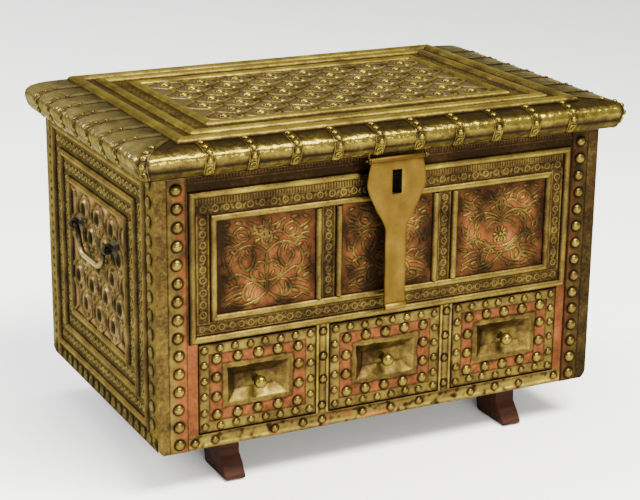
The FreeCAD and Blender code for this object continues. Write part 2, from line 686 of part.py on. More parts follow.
def make_lid():
    outer = lid_solid(0)
    core = lid_solid(SHEET)
    skin = outer.cut(core)

    hasp_z = LID_Z - HASP_DROP
    hasp_y = FRONT_Y - HASP_STAND
    eyes = []
    for side in (-1, 1):
        x = side * (HASP_TOP / 2 + EYE_GAP + EYE_WIRE)
        ring_radius = PIN_RADIUS + PIN_FIT + EYE_WIRE
        start = Vector(x - EYE_WIRE, hasp_y, hasp_z)
        length = EYE_WIRE + EYE_WIRE
        ring = Part.makeCylinder(ring_radius + EYE_WIRE, length, start, Vector(1, 0, 0))
        ring = ring.cut(Part.makeCylinder(PIN_RADIUS + PIN_FIT, length, start, Vector(1, 0, 0)))
        shank = Part.makeCylinder(EYE_WIRE, EYE_SHANK, Vector(x, hasp_y, hasp_z + ring_radius),
                                  Vector(0, 0, 1))
        core = core.cut(shank)
        skin = skin.cut(shank)
        eyes.append(ring.fuse(shank))
    save("hasp_eyes", eyes)
    reach = HASP_TOP / 2 + PIN_OVERHANG
    save("hasp_pin", [Part.makeCylinder(PIN_RADIUS, reach + reach, Vector(-reach, hasp_y, hasp_z),
                                        Vector(1, 0, 0))])
    save("lid_board", [core])
    save("lid_sheet", [skin])

    save("edge_straps", make_straps(outer))

    low = FRONT_Y + LID_FRAME_FRONT
    middle_y = (low + BACK_Y) / 2
    wide = BODY_WIDTH - LID_FRAME_SIDE - LID_FRAME_SIDE
    deep = BACK_Y - low
    rods = []
    step = 0
    for rod, gap in ((LID_OUTER_ROD, LID_CHANNEL), (LID_MIDDLE_ROD, LID_BAND), (LID_INNER_ROD, 0)):
        for piece in rod_frame(wide - step - step, deep - step - step, rod, LID_ROD_PROUD):
            piece.translate(Vector(0, middle_y, LID_TOP_Z))
            rods.append(piece)
        step += rod + gap
    save("lid_frames", rods)
    panel_wide = wide - step - step
    panel_deep = deep - step - step
    copper = block(-panel_wide / 2, panel_wide / 2, middle_y - panel_deep / 2, middle_y + panel_deep / 2,
                   LID_TOP_Z, LID_TOP_Z + SHEET)
    net = lattice(panel_wide, panel_deep)
    net.translate(Vector(0, middle_y, LID_TOP_Z + SHEET))
    save("lid_copper", [copper])
    save("lid_lattice", [net])


def make_hasp():
    """A shaped plate hung from a rolled barrel, with a slot and a rolled lip at its foot."""
    y = FRONT_Y - HASP_STAND
    z = LID_Z - HASP_DROP
    foot = HASP_LENGTH - HASP_LIP

    def at(across, down):
        return Vector(across, y - HASP_PLATE / 2, z - down)

    edges = []
    for side in (-1, 1):
        places = [at(side * HASP_TOP / 2, HASP_SHOULDER), at(side * HASP_BULB / 2, HASP_BULB_AT),
                  at(side * HASP_WAIST / 2, HASP_WAIST_AT), at(side * HASP_STEM / 2, HASP_STEM_AT)]
        curve = Part.BSplineCurve()
        curve.interpolate(places)
        edges += [line(at(side * HASP_TOP / 2, 0), places[0]), curve.toShape(),
                  line(places[-1], at(side * HASP_STEM / 2, foot))]
    edges += [line(at(-HASP_TOP / 2, 0), at(HASP_TOP / 2, 0)),
              line(at(-HASP_STEM / 2, foot), at(HASP_STEM / 2, foot))]
    plate = Part.Face(Part.Wire(Part.__sortEdges__(edges))).extrude(Vector(0, HASP_PLATE, 0))
    barrel = Part.makeCylinder(HASP_BARREL, HASP_TOP, Vector(-HASP_TOP / 2, y, z), Vector(1, 0, 0))
    lip = Part.makeCylinder(HASP_LIP, HASP_STEM, Vector(-HASP_STEM / 2, y - HASP_PLATE / 2, z - foot),
                            Vector(1, 0, 0))
    slot = block(-SLOT_WIDTH / 2, SLOT_WIDTH / 2, y - HASP_PLATE, y + HASP_PLATE, z - SLOT_AT - SLOT_HEIGHT,
                 z - SLOT_AT)
    bore = Part.makeCylinder(PIN_RADIUS + PIN_FIT, HASP_TOP, Vector(-HASP_TOP / 2, y, z), Vector(1, 0, 0))
    save("hasp", [plate.fuse(barrel).fuse(lip).cut(slot).cut(bore)])


def make_hinges():
    """Two three-knuckle hinges on the back: a leaf on the body, a leaf on the lid, a pin."""
    middle = HINGE_MIDDLE / 2
    half = HINGE_LEAF / 2
    radius = HINGE_BARREL
    sweep = HINGE_BARREL + HINGE_OFF

    def tube(x0, x1, size):
        return Part.makeCylinder(size, x1 - x0, Vector(x0, HINGE_Y, HINGE_Z), Vector(1, 0, 0))

    bore = tube(-half - OVERRUN, half + OVERRUN, HINGE_PIN + HINGE_BORE_FIT)
    lower = block(-half, half, BACK_Y, BACK_Y + HINGE_SHEET, HINGE_Z - HINGE_LEAF_HEIGHT, HINGE_Z)
    lower = lower.cut(tube(-middle - HINGE_SIDE_GAP, middle + HINGE_SIDE_GAP, sweep))
    for x0, x1 in ((-half, -middle - HINGE_SIDE_GAP), (middle + HINGE_SIDE_GAP, half)):
        lower = lower.fuse(tube(x0, x1, radius))
    lower = lower.cut(bore)
    upper = block(-half, half, BACK_Y, BACK_Y + HINGE_SHEET, LID_Z + LID_GAP, LID_Z + HINGE_LEAF_HEIGHT)
    for x0, x1 in ((-half - OVERRUN, -middle), (middle, half + OVERRUN)):
        upper = upper.cut(tube(x0, x1, sweep))
    upper = upper.fuse(tube(-middle, middle, radius)).cut(bore)
    pin = tube(-half, half, HINGE_PIN)
    for name, piece in (("body_hinge_leaves", lower), ("lid_hinge_leaves", upper), ("hinge_pins", pin)):
        piece.translate(Vector(HINGE_X, 0, 0))
        save(name, [piece, mirrored(piece)])


os.makedirs("parts", exist_ok=True)
make_carcass()
make_feet()
make_front_cladding()
make_corner_strips()
make_side_cladding()
make_handles()
make_drawers()
make_lid()
make_hasp()
make_hinges()
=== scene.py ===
import bmesh
import bpy
import math
import random
import numpy as np
from mathutils import Matrix, Vector, noise


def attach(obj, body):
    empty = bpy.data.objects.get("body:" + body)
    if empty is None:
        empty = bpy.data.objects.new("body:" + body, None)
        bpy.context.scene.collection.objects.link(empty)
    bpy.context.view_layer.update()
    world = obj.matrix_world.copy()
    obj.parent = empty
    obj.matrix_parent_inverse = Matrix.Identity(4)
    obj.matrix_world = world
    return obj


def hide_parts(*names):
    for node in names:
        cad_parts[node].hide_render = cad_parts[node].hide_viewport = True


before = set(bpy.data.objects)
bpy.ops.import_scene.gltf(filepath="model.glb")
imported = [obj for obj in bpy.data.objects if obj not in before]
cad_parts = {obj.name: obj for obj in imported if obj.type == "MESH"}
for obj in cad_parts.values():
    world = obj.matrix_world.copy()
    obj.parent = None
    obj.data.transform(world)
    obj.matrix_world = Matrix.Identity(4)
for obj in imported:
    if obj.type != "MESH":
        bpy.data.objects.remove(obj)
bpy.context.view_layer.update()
random.seed(7)

# Sizes of the chest in millimetres. The origin is on the floor under the middle of the whole object.
MM = 0.001
SHIFT = 11.35
HALF_WIDTH = 300.0
FRONT_Y = -189.0
BACK_Y = 189.0
FOOT = 54.0
LID_Z = 394.2
LID_THICK = 35.0

# The front, measured from its lower edge: frames of rods, panels between them, and the drawers' faces
OUTER_FRAME = (-260.0, 260.0, 133.0, 318.0)
INNER_FRAME = (-233.0, 233.0, 158.0, 288.5)
ROD_PROUD = 4.6
PIN = 1.9
MULLION_X = 79.5
MULLION_ROD = 13.5
PANEL_LOW = 167.0
PANEL_HIGH = 279.5
BAND_X = 251.0
CORNER_IN = 262.3
CORNER_OUT = 286.5
DIVIDER_X = 86.0
DRAWER_PITCH = 172.0
DRAWER_MIDDLE = 75.5
FACE_X = 76.0
FACE_UP = 55.0
FACE_BORDER = 13.0
PLATE_X = 46.0
PLATE_UP = 27.5

# The sides, measured from the same edge
SIDE_X = 162.0
SIDE_LOW = 25.0
SIDE_HIGH = 330.0
SIDE_FRAME = (-SIDE_X, SIDE_X, SIDE_LOW, SIDE_HIGH)
SIDE_STEP = 29.5
SIDE_BAND = 19.5
SIDE_EDGE = 187.0
NET_PITCH = 49.0
NET_ROW = 31.0

# The line that a bail turns about, and its eyes, measured from the floor
BAIL_X = 311.0
BAIL_Y = 60.0
BAIL_Z = 274.0

# The lid and its hasp, with the slot measured down from the hasp's pin
TOP_X = 270.0
LID_BAND = 20.0
HASP_Z = 388.7
HASP_Y = FRONT_Y - 21.25
HASP_THICK = 2.5
SLOT_HALF = 6.5
SLOT_TOP = 13.5
SLOT_END = 43.5
LIP_Z = 204.4

HANDS = (("left", -1), ("right", 1))


def plane(right, up, out, origin):
    """The place of a piece drawn flat: its right, up and proud directions, and its origin."""
    turn = Matrix((right, up, out)).transposed().to_4x4()
    turn.translation = Vector(origin)
    return Matrix.Scale(MM, 4) @ turn


def move(x, y, z):
    return Matrix.Translation((x, y, z))


def inset(x0, x1, y0, y1, step):
    """A rectangle drawn in by a step all round."""
    return x0 + step, x1 - step, y0 + step, y1 - step


def wobble(x, y, z):
    """Soft noise between about -0.7 and 0.7."""
    return noise.noise(Vector((x, y, z)))


FRONT = plane((1, 0, 0), (0, 0, 1), (0, -1, 0), (0, FRONT_Y + SHIFT, FOOT))
RIGHT = plane((0, 1, 0), (0, 0, 1), (1, 0, 0), (HALF_WIDTH, SHIFT, FOOT))
LEFT = plane((0, -1, 0), (0, 0, 1), (-1, 0, 0), (-HALF_WIDTH, SHIFT, FOOT))
TOP = plane((1, 0, 0), (0, 1, 0), (0, 0, 1), (0, SHIFT, LID_Z + LID_THICK))
WHOLE = plane((1, 0, 0), (0, 1, 0), (0, 0, 1), (0, SHIFT, 0))


# Materials

def feed(tree, node, sockets):
    """Give sockets of a node their values or links."""
    for name, value in sockets.items():
        if isinstance(value, bpy.types.NodeSocket):
            tree.links.new(value, node.inputs[name])
        else:
            node.inputs[name].default_value = value


def new_node(tree, kind, sockets):
    """A new node of a material, fed at once."""
    node = tree.nodes.new("ShaderNode" + kind)
    feed(tree, node, sockets)
    return node


def ramp(tree, stops, share):
    """The colour of a share along stops of places and colours."""
    node = new_node(tree, "ValToRGB", {"Fac": share})
    elements = node.color_ramp.elements
    while len(elements) < len(stops):
        elements.new(0.5)
    for element, (place, colour) in zip(elements, stops):
        element.position = place
        element.color = (*colour, 1.0)
    return node.outputs["Color"]


def calc(tree, kind, first, second):
    node = new_node(tree, "Math", {0: first, 1: second})
    node.operation = kind
    return node.outputs[0]


def speckle(tree, coordinates, scale, detail):
    sockets = {"Vector": coordinates, "Scale": scale, "Detail": detail, "Roughness": 0.6}
    return new_node(tree, "TexNoise", sockets).outputs["Fac"]


def attribute(tree, name):
    node = tree.nodes.new("ShaderNodeAttribute")
    node.attribute_name = name
    return node.outputs["Fac"]


def bump(tree, height, strength, distance):
    """The bent surface direction of small dents."""
    sockets = {"Height": height, "Strength": strength, "Distance": distance}
    return new_node(tree, "Bump", sockets).outputs["Normal"]


def blank(name):
    """A new material, its tree, its shader and the coordinates of the object."""
    made = bpy.data.materials.new(name)
    made.use_nodes = True
    tree = made.node_tree
    return made, tree, tree.nodes["Principled BSDF"], tree.nodes.new("ShaderNodeTexCoord").outputs["Object"]


def metal(name, stops, worked=False, ground=None, rough=(0.55, 0.27), grain=0.25, hammered=0.0, patina=0.55,
          metallic=0.9, level=0.5, drift=0.0):
    """Sheet metal with a worn patina. Worked sheets carry their relief's tone, and copper where no brass lies."""
    made, tree, shader, place = blank(name)
    fine = speckle(tree, place, 260.0, 4.0)
    stain = calc(tree, "SUBTRACT", speckle(tree, place, 24.0, 5.0), 0.5)
    speck = calc(tree, "MULTIPLY", calc(tree, "SUBTRACT", fine, 0.5), grain * 1.4)
    shade = calc(tree, "ADD", calc(tree, "MULTIPLY", stain, patina * 1.6), speck)
    shade = calc(tree, "SUBTRACT", shade, 0.06)
    shade = calc(tree, "ADD", shade, attribute(tree, "tone") if worked else level)
    if drift:
        across = new_node(tree, "SeparateXYZ", {0: place}).outputs[0]
        shade = calc(tree, "ADD", shade, calc(tree, "MULTIPLY", across, drift))
    colour = ramp(tree, stops, shade)
    if ground:
        mix = tree.nodes.new("ShaderNodeMix")
        mix.data_type = "RGBA"
        feed(tree, mix, {0: attribute(tree, "brass"), 6: ramp(tree, ground, shade), 7: colour})
        colour = mix.outputs[2]
    gloss = new_node(tree, "MapRange", {"Value": shade, "From Min": 0.15, "From Max": 0.85, "To Min": rough[0],
                                        "To Max": rough[1]})
    height = calc(tree, "MULTIPLY", fine, 0.35)
    if hammered:
        dent = speckle(tree, place, 110.0, 1.5)
        height = calc(tree, "ADD", height, calc(tree, "MULTIPLY", dent, hammered * 4.0))
    feed(tree, shader, {"Base Color": colour, "Metallic": metallic, "Specular Tint": (0.62, 0.56, 0.30, 1.0),
                        "Roughness": gloss.outputs["Result"], "Normal": bump(tree, height, 0.35, 0.0012)})
    return made


def timber(name, dark, light, rough=0.6, shine=0.2):
    """Stained wood with its grain along X."""
    made, tree, shader, place = blank(name)
    stretch = new_node(tree, "Mapping", {"Vector": place, "Scale": (0.12, 1.0, 1.0)})
    grain = speckle(tree, stretch.outputs["Vector"], 130.0, 6.0)
    feed(tree, shader, {"Base Color": ramp(tree, [(0.3, dark), (0.75, light)], grain), "Roughness": rough,
                        "Specular IOR Level": shine, "Normal": bump(tree, grain, 0.3, 0.0006)})
    return made


def shades(*stops):
    """Stops of a ramp, each a place and a colour in thousandths of full light."""
    return [(place, (red / 1000, green / 1000, blue / 1000)) for place, red, green, blue in stops]


BRASS = shades((0.10, 6.5, 3.6, 1.5), (0.32, 30, 16.8, 5.2), (0.52, 83, 55, 11.5), (0.74, 159, 119, 19),
               (0.96, 385, 348, 62))
YELLOW_BRASS = shades((0.10, 6.5, 3.6, 1.5), (0.32, 31, 19.5, 5), (0.52, 86, 62, 11), (0.74, 174, 134, 19.5),
                      (0.96, 435, 395, 70))
# The next three palettes are greyer copies of the brass for the sides, painted shade for the dimmer, greyer light
# there; the one for the side rods is darker too.
GREY_BRASS = shades((0.10, 7, 5, 2.8), (0.33, 30, 20, 8), (0.54, 80, 58, 19), (0.76, 150, 115, 43),
                    (0.96, 270, 230, 115))
SIDE_BRASS = shades((0.14, 6.5, 3.8, 1.8), (0.33, 28, 16.5, 6), (0.54, 66, 41, 12), (0.76, 135, 95, 30),
                    (0.96, 260, 215, 95))
EDGE_SIDE_BRASS = shades((0.10, 8, 5.8, 4.2), (0.33, 40, 29, 17.5), (0.54, 108, 80, 43), (0.76, 195, 154, 88),
              (0.96, 330, 285, 185))
HASP_BRASS = shades((0.1, 32, 16, 2.6), (0.5, 98, 56.5, 8), (0.9, 168, 110, 20))
COPPER = shades((0.12, 10, 4.2, 1.8), (0.38, 56, 19.5, 6.5), (0.60, 140, 43, 13), (0.90, 240, 95, 40))
MAUVE = shades((0.12, 9, 5.5, 3.4), (0.42, 46, 27.5, 18.5), (0.68, 98, 62, 43), (0.95, 170, 120, 80))
SALMON = shades((0.12, 9, 5.2, 3.4), (0.40, 56, 28, 17), (0.66, 165, 85, 54), (0.92, 270, 165, 110))
IRON = shades((0.1, 8, 6.5, 5), (0.45, 45, 37, 28), (0.9, 120, 98, 70))
GRIP = shades((0.15, 6, 5, 4), (0.42, 36, 28, 15), (0.72, 200, 155, 62), (1.0, 360, 310, 180))

brass = metal("aged_brass", BRASS, hammered=0.15, patina=0.3)
rod_brass = metal("rod_brass", BRASS, True, rough=(0.5, 0.33), hammered=0.2, patina=0.3)
lid_rod_brass = metal("lid_rod_brass", YELLOW_BRASS, True, rough=(0.5, 0.3), hammered=0.25, patina=0.35)
side_rod_brass = metal("side_rod_brass", SIDE_BRASS, True, rough=(0.55, 0.3), hammered=0.15, patina=0.4)
corner_brass = metal("corner_brass", BRASS, hammered=0.15, patina=0.4, grain=0.4, level=0.39, drift=-0.25)
dark_brass = metal("dark_brass", BRASS, patina=0.35, level=0.34)
stud_brass = metal("stud_brass", BRASS, True, rough=(0.42, 0.2), patina=0.2, grain=0.15)
side_brass = metal("side_brass", GREY_BRASS, rough=(0.55, 0.34), level=0.52)
stamped_brass = metal("stamped_brass", BRASS, True, patina=0.3)
stamped_side = metal("stamped_side", GREY_BRASS, True, rough=(0.6, 0.36), patina=0.3)
cushion_brass = metal("cushion_brass", YELLOW_BRASS, True, EDGE_SIDE_BRASS, rough=(0.40, 0.17), hammered=0.9, patina=0.3)
arabesque = metal("arabesque", BRASS, True, COPPER, patina=0.3)
lid_net_metal = metal("lid_net", YELLOW_BRASS, True, MAUVE, patina=0.25)
side_net_metal = metal("side_net", GREY_BRASS, True, SALMON, rough=(0.6, 0.36), patina=0.25)
drawer_metal = metal("drawer_brass", BRASS, True, COPPER, rough=(0.52, 0.32), hammered=0.3, patina=0.35)
copper = metal("copper", COPPER, rough=(0.6, 0.38), level=0.54)
hasp_brass = metal("hasp_brass", HASP_BRASS, True, rough=(0.5, 0.42), patina=0.15, grain=0.08)
iron = metal("dark_iron", IRON, rough=(0.6, 0.4), metallic=0.7, level=0.4)
grip_metal = metal("bail_iron", GRIP, True, patina=0.25)
wood = timber("dark_wood", (0.009, 0.0038, 0.002), (0.036, 0.013, 0.007))
foot_wood = timber("foot_wood", (0.0100, 0.0034, 0.0020), (0.0330, 0.0115, 0.0058), 0.6, 0.04)
inside_wood = timber("inside_wood", (0.036, 0.019, 0.010), (0.090, 0.050, 0.027), 0.75)


# Building

def new_object(name, data):
    """A new object in the scene."""
    made = bpy.data.objects.new(name, data)
    bpy.context.scene.collection.objects.link(made)
    return made


def settle(bm, name, body, material, place=WHOLE, stands_for=(), sharp=40.0):
    """Turn a drawn shape into a piece of the chest, riding on a body."""
    bmesh.ops.remove_doubles(bm, verts=bm.verts, dist=0.004)
    bm.transform(place)
    bmesh.ops.recalc_face_normals(bm, faces=bm.faces)
    mesh = bpy.data.meshes.new(name)
    bm.to_mesh(mesh)
    bm.free()
    mesh.shade_smooth()
    mesh.set_sharp_from_angle(angle=math.radians(sharp))
    mesh.materials.append(material)
    made = new_object(name, mesh)
    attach(made, body)
    if stands_for:
        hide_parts(*stands_for)


def bell(away, width):
    """1 in the middle, falling softly to 0 over about a width."""
    return np.exp(-(away / width) ** 2)


def new_verts(made):
    """The vertices among what an operator made."""
    return [item for item in made["geom"] if isinstance(item, bmesh.types.BMVert)]


def second_skin(bm):
    """Make a sheet double and close its rim. Returns the vertices of the new skin."""
    return new_verts(bmesh.ops.extrude_face_region(bm, geom=bm.faces[:]))


def join(bm, other, place=Matrix.Identity(4)):
    """Add another drawn shape to this one, moved to its place."""
    other.transform(place)
    mesh = bpy.data.meshes.new("joined")
    other.to_mesh(mesh)
    other.free()
    bm.from_mesh(mesh)
    bpy.data.meshes.remove(mesh)


def close(bm):
    """Fill what is still open."""
    rims = [edge for edge in bm.edges if edge.is_boundary]
    if rims:
        bmesh.ops.holes_fill(bm, edges=rims, sides=0)


def cut_flat(bm, point, way):
    """Cut away what lies beyond a plane, and close the cut."""
    everything = bm.verts[:] + bm.edges[:] + bm.faces[:]
    bmesh.ops.bisect_plane(bm, geom=everything, plane_co=point, plane_no=way, clear_outer=True)
    close(bm)


def grid_shape(columns, rows, rule):
    """A grid whose every point is moved by a rule of its two shares, from 0 to 1."""
    bm = bmesh.new()
    tone = bm.verts.layers.float.new("tone")
    brass_part = bm.verts.layers.float.new("brass")
    bmesh.ops.create_grid(bm, x_segments=columns, y_segments=rows, size=0.5)
    for vert in bm.verts:
        place, shade, part = rule(vert.co.x + 0.5, vert.co.y + 0.5)
        vert.co = place
        vert[tone] = shade
        vert[brass_part] = part
    return bm


def tube(path, radius, around, tone=0.5, closed_ends=True):
    """A round bar along a path. Radius and tone may be rules of the share along it."""
    points = [Vector(point) for point in path]
    count = len(points)
    heading = [(points[min(i + 1, count - 1)] - points[max(i - 1, 0)]).normalized() for i in range(count)]
    side = heading[0].orthogonal().normalized()
    sides = []
    for way in heading:
        side = (side - way * side.dot(way)).normalized()
        sides.append(side)

    def rule(u, v):
        i = min(int(round(u * (count - 1))), count - 1)
        size = radius(u) if callable(radius) else radius
        angle = math.tau * v
        up = heading[i].cross(sides[i])
        place = points[i] + (sides[i] * math.cos(angle) + up * math.sin(angle)) * size
        return place, tone(u) if callable(tone) else tone, 1.0

    bm = grid_shape(count - 1, around, rule)
    bmesh.ops.remove_doubles(bm, verts=bm.verts, dist=0.002)
    if closed_ends:
        close(bm)
    return bm


def turned(profile, around=24, bright_from=1000.0):
    """A turned shape about the W axis from a profile of (radius, height), brighter where it is wider and bright all
    over from a height up.
    """
    bm = bmesh.new()
    tone = bm.verts.layers.float.new("tone")
    brass_part = bm.verts.layers.float.new("brass")
    line = [bm.verts.new((radius, 0, height)) for radius, height in profile]
    edges = [bm.edges.new(pair) for pair in zip(line, line[1:])]
    bmesh.ops.spin(bm, geom=line + edges, cent=(0, 0, 0), axis=(0, 0, 1), angle=math.tau, steps=around,
                   use_merge=True)
    bmesh.ops.remove_doubles(bm, verts=bm.verts, dist=0.002)
    close(bm)
    widest = max(radius for radius, height in profile)
    for vert in bm.verts:
        wide = vert.co.xy.length / widest
        vert[tone] = 0.30 + 0.40 * (wide if vert.co.z < bright_from else 1.1)
        vert[brass_part] = 1.0
    return bm


def slab(x0, x1, y0, y1, z0, z1):
    bm = bmesh.new()
    size = Matrix.Diagonal((x1 - x0, y1 - y0, z1 - z0, 1))
    middle = move((x0 + x1) / 2, (y0 + y1) / 2, (z0 + z1) / 2)
    bmesh.ops.create_cube(bm, size=1, matrix=middle @ size)
    return bm


def domes(places, radius, height, around=14, bright=0.42, ground=0.0):
    """Round nail heads on a ground, each a little different, darker at the foot and brighter on top."""
    bm = bmesh.new()
    tone = bm.verts.layers.float.new("tone")
    for x, y in places:
        size = radius * random.uniform(0.94, 1.05)
        rise = height * random.uniform(0.9, 1.0)
        worn = random.uniform(-0.10, 0.08)
        shape = move(x, y, 0) @ Matrix.Diagonal((size, size, rise, 1))
        made = bmesh.ops.create_uvsphere(bm, u_segments=around, v_segments=8, radius=1, matrix=shape)
        for vert in made["verts"]:
            vert[tone] = 0.27 + worn + bright * min(max(vert.co.z / height, 0), 1) ** 0.8
    cut_flat(bm, (0, 0, 0.001), (0, 0, -1))
    bm.transform(move(0, 0, ground))
    return bm


def rod(length, width, proud, mitred=True, tone=0.0):
    """A hammered half-round rod along X with its outer edge on Y = 0."""
    bm = bmesh.new()
    layer = bm.verts.layers.float.new("tone")
    bmesh.ops.create_cone(bm, cap_ends=True, segments=16, radius1=1, radius2=1, depth=1)
    cut_flat(bm, (0, 0.0001, 0), (0, -1, 0))
    long_edges = [edge for edge in bm.edges if abs(edge.verts[0].co.z - edge.verts[1].co.z) > 0.5]
    bmesh.ops.subdivide_edges(bm, edges=long_edges, cuts=max(1, int(length / 6)), use_grid_fill=False)
    seed = random.uniform(0, 1000)
    for vert in bm.verts:
        across = (vert.co.x + 1) / 2 * width
        reach = length / 2 - (across if mitred else 0)
        along = vert.co.z * 2 * reach
        worn = wobble(along / 14, across / 9, seed)
        rise = vert.co.y * proud * (0.97 - 0.06 * abs(worn)) if vert.co.y > 0.01 else 0
        rub = wobble(along / 40, seed, 0)
        # The crest is painted brighter and the foot darker: partly rubbed wear, partly a painted highlight on the
        # crest and painted shade at the foot.
        vert[layer] = tone + 0.27 + 0.42 * (rise / proud) ** 1.3 + worn * 0.12 + rub * 0.14
        vert.co = Vector((along, across, rise))
    return bm


def rods_round(x0, x1, y0, y1, width, proud, upright=-0.10):
    """Four mitred rods round a rectangle on W = 0. The upright ones, which run along Y, take a tone of their own:
    painted shade, as they catch less light than the others.
    """
    bm = bmesh.new()
    middle = ((x0 + x1) / 2, (y0 + y1) / 2, 0)
    for turn in range(4):
        along, across = (x1 - x0, y1 - y0) if turn % 2 == 0 else (y1 - y0, x1 - x0)
        piece = rod(along, width, proud, tone=upright if turn % 2 else 0.0)
        piece.transform(move(0, -across / 2, 0))
        join(bm, piece, move(*middle) @ Matrix.Rotation(math.pi / 2 * turn, 4, "Z"))
    return bm


def smooth_path(points, step):
    """A smooth line through points, sampled at an even step."""
    points = [np.array(point, float) for point in points]
    ends = [points[0] * 2 - points[1]] + points + [points[-1] * 2 - points[-2]]
    samples = []
    for a, b, c, d in zip(ends, ends[1:], ends[2:], ends[3:]):
        count = max(2, int(np.linalg.norm(c - b) / step) + 1)
        for number in range(count):
            t = number / count
            samples.append(0.5 * (2 * b + (c - a) * t + (2 * a - 5 * b + 4 * c - d) * t * t
                                  + (3 * b - a - 3 * c + d) * t ** 3))
    return samples + [points[-1]]


def half_round(share):
    """The height of a round bar or bead at a share of its half width."""
    return np.sqrt(np.clip(1 - share * share, 0, 1))


class Relief:
    """Sheet metal worked from a flat ground: heights, the tone of the patina and where brass lies."""

    def __init__(self, x0, x1, y0, y1, step, brass_part=1.0):
        self.x = np.linspace(x0, x1, max(2, round((x1 - x0) / step)) + 1)
        self.y = np.linspace(y0, y1, max(2, round((y1 - y0) / step)) + 1)
        self.step = (self.x[1] - self.x[0] + self.y[1] - self.y[0]) / 2
        self.rise = np.zeros((len(self.y), len(self.x)))
        self.tint = np.zeros_like(self.rise)
        self.brass = np.full_like(self.rise, brass_part)

    def spot(self, x, y, reach):
        """The part of the sheet round a point, and each point's distance from it."""
        i0, i1 = np.searchsorted(self.x, (x - reach, x + reach))
        j0, j1 = np.searchsorted(self.y, (y - reach, y + reach))
        across = self.x[i0:i1][None, :] - x
        up = self.y[j0:j1][:, None] - y
        return (slice(j0, j1), slice(i0, i1)), across, up

    def around(self, x, y, reach):
        """The part of the sheet round a point, and how far its points are from it."""
        window, across, up = self.spot(x, y, reach)
        return window, np.hypot(across, up)

    def stripe(self, x, half, fall):
        """1 on an upright stripe of the sheet, falling softly beside it."""
        return bell(np.clip(np.abs(self.x - x) - half, 0, None), fall)[None, :]

    def ends(self):
        """How far the columns are from the left edge, and from the right edge."""
        return (self.x - self.x[0])[None, :], (self.x[-1] - self.x)[None, :]

    def raised(self, window, share, height, brass_part=1.0):
        """Raise a window to a height where the share is over 0."""
        inside = share > 0
        lift = np.where(inside, height * share, 0)
        taller = lift > self.rise[window]
        self.rise[window] = np.maximum(self.rise[window], lift)
        self.brass[window] = np.where(inside & taller, brass_part, self.brass[window])

    def dot(self, x, y, radius, height):
        window, far = self.around(x, y, radius)
        self.raised(window, half_round(far / radius), height)

    def leaf(self, x, y, angle, length, width, height):
        """A pointed leaf with a dark middle rib."""
        window, across, up = self.spot(x, y, length)
        along = (across * math.cos(angle) + up * math.sin(angle)) / length
        aside = (up * math.cos(angle) - across * math.sin(angle)) / width
        lobe = half_round(along) ** 1.6
        share = np.clip(1 - (aside / np.maximum(lobe, 0.02)) ** 2, 0, 1) * (np.abs(along) < 1)
        self.raised(window, np.sqrt(share) * np.clip(lobe * 1.3, 0, 1), height)
        self.tint[window] -= 0.28 * bell(aside, 0.16) * (np.abs(along) < 0.8) * (share > 0)

    def ring(self, x, y, radius, wire, height, brass_part=1.0):
        window, far = self.around(x, y, radius + wire)
        self.raised(window, half_round((far - radius) / wire), height, brass_part)

    def stroke(self, points, radius, height, taper=0.0, grooved=0.0):
        """A raised line through points, thinner at its ends by the taper, with a groove along its middle."""
        path = smooth_path(points, self.step * 0.8)
        groove = []
        for number, (x, y) in enumerate(path):
            share = number / max(1, len(path) - 1)
            size = radius * (1 - taper * abs(2 * share - 1) ** 3)
            window, far = self.around(x, y, size)
            self.raised(window, np.clip(1 - (far / size) ** 4, 0, 1), height)
            groove.append((x, y, size * 0.36))
        if grooved:
            cut = np.zeros_like(self.rise)
            for x, y, size in groove:
                window, far = self.around(x, y, size * 2)
                cut[window] = np.maximum(cut[window], bell(far, size))
            self.rise -= cut * height * grooved
            self.tint -= cut * grooved * 0.5

    def cup(self, x, y, radius, rim, height, floor):
        """A round dish with a rolled rim."""
        window, far = self.around(x, y, radius + rim)
        inside = far < radius
        bowl = floor + (height - floor) * np.clip(far / radius, 0, 1) ** 2.6
        outside = height * np.clip(1 - (far - radius) / rim, 0, 1) ** 0.7
        self.rise[window] = np.where(inside, bowl, np.maximum(self.rise[window], outside))
        self.brass[window] = np.where(far < radius + rim * 0.8, 1.0, self.brass[window])
        self.tint[window] -= np.where(inside, 0.48 * np.clip(1 - far / radius, 0, 1) ** 0.5, 0)

    def dish_hole(self, x, y, radius):
        window, far = self.around(x, y, radius)
        far = far / radius
        self.rise[window] = np.where(far < 1, np.minimum(self.rise[window], far * 1.2), self.rise[window])
        self.tint[window] -= 0.4 * np.clip(1 - far, 0, 1) ** 0.5

    def halo(self, x, y, radius, depth=0.34):
        """A dark line of patina round a nail."""
        window, far = self.around(x, y, radius + 3.5)
        self.tint[window] -= depth * bell(np.clip(far - radius - 0.3, 0, None), 1.2)

    def outlined(self, depth):
        """A dark line beside everything raised."""
        proud = self.rise > 0.2
        wide = proud.copy()
        for shift in ((0, 1), (0, -1), (1, 0), (-1, 0)):
            wide |= np.roll(proud, shift, (0, 1))
        self.tint[wide & ~proud] -= depth

    def cloud(self, size, seed):
        """Slow random patches over the sheet."""
        return np.array([[wobble(x / size, y / size, seed) for x in self.x] for y in self.y])

    def tone(self, gain, reach):
        """Bright on the heights, dark in the hollows."""
        pad = max(1, round(reach / self.step))
        wide = np.pad(self.rise, pad, mode="edge")
        total = np.zeros_like(self.rise)
        count = 0
        for dy in range(0, 2 * pad + 1, max(1, pad // 2)):
            for dx in range(0, 2 * pad + 1, max(1, pad // 2)):
                total += wide[dy:dy + self.rise.shape[0], dx:dx + self.rise.shape[1]]
                count += 1
        return 0.47 + (self.rise - total / count) * gain + self.tint

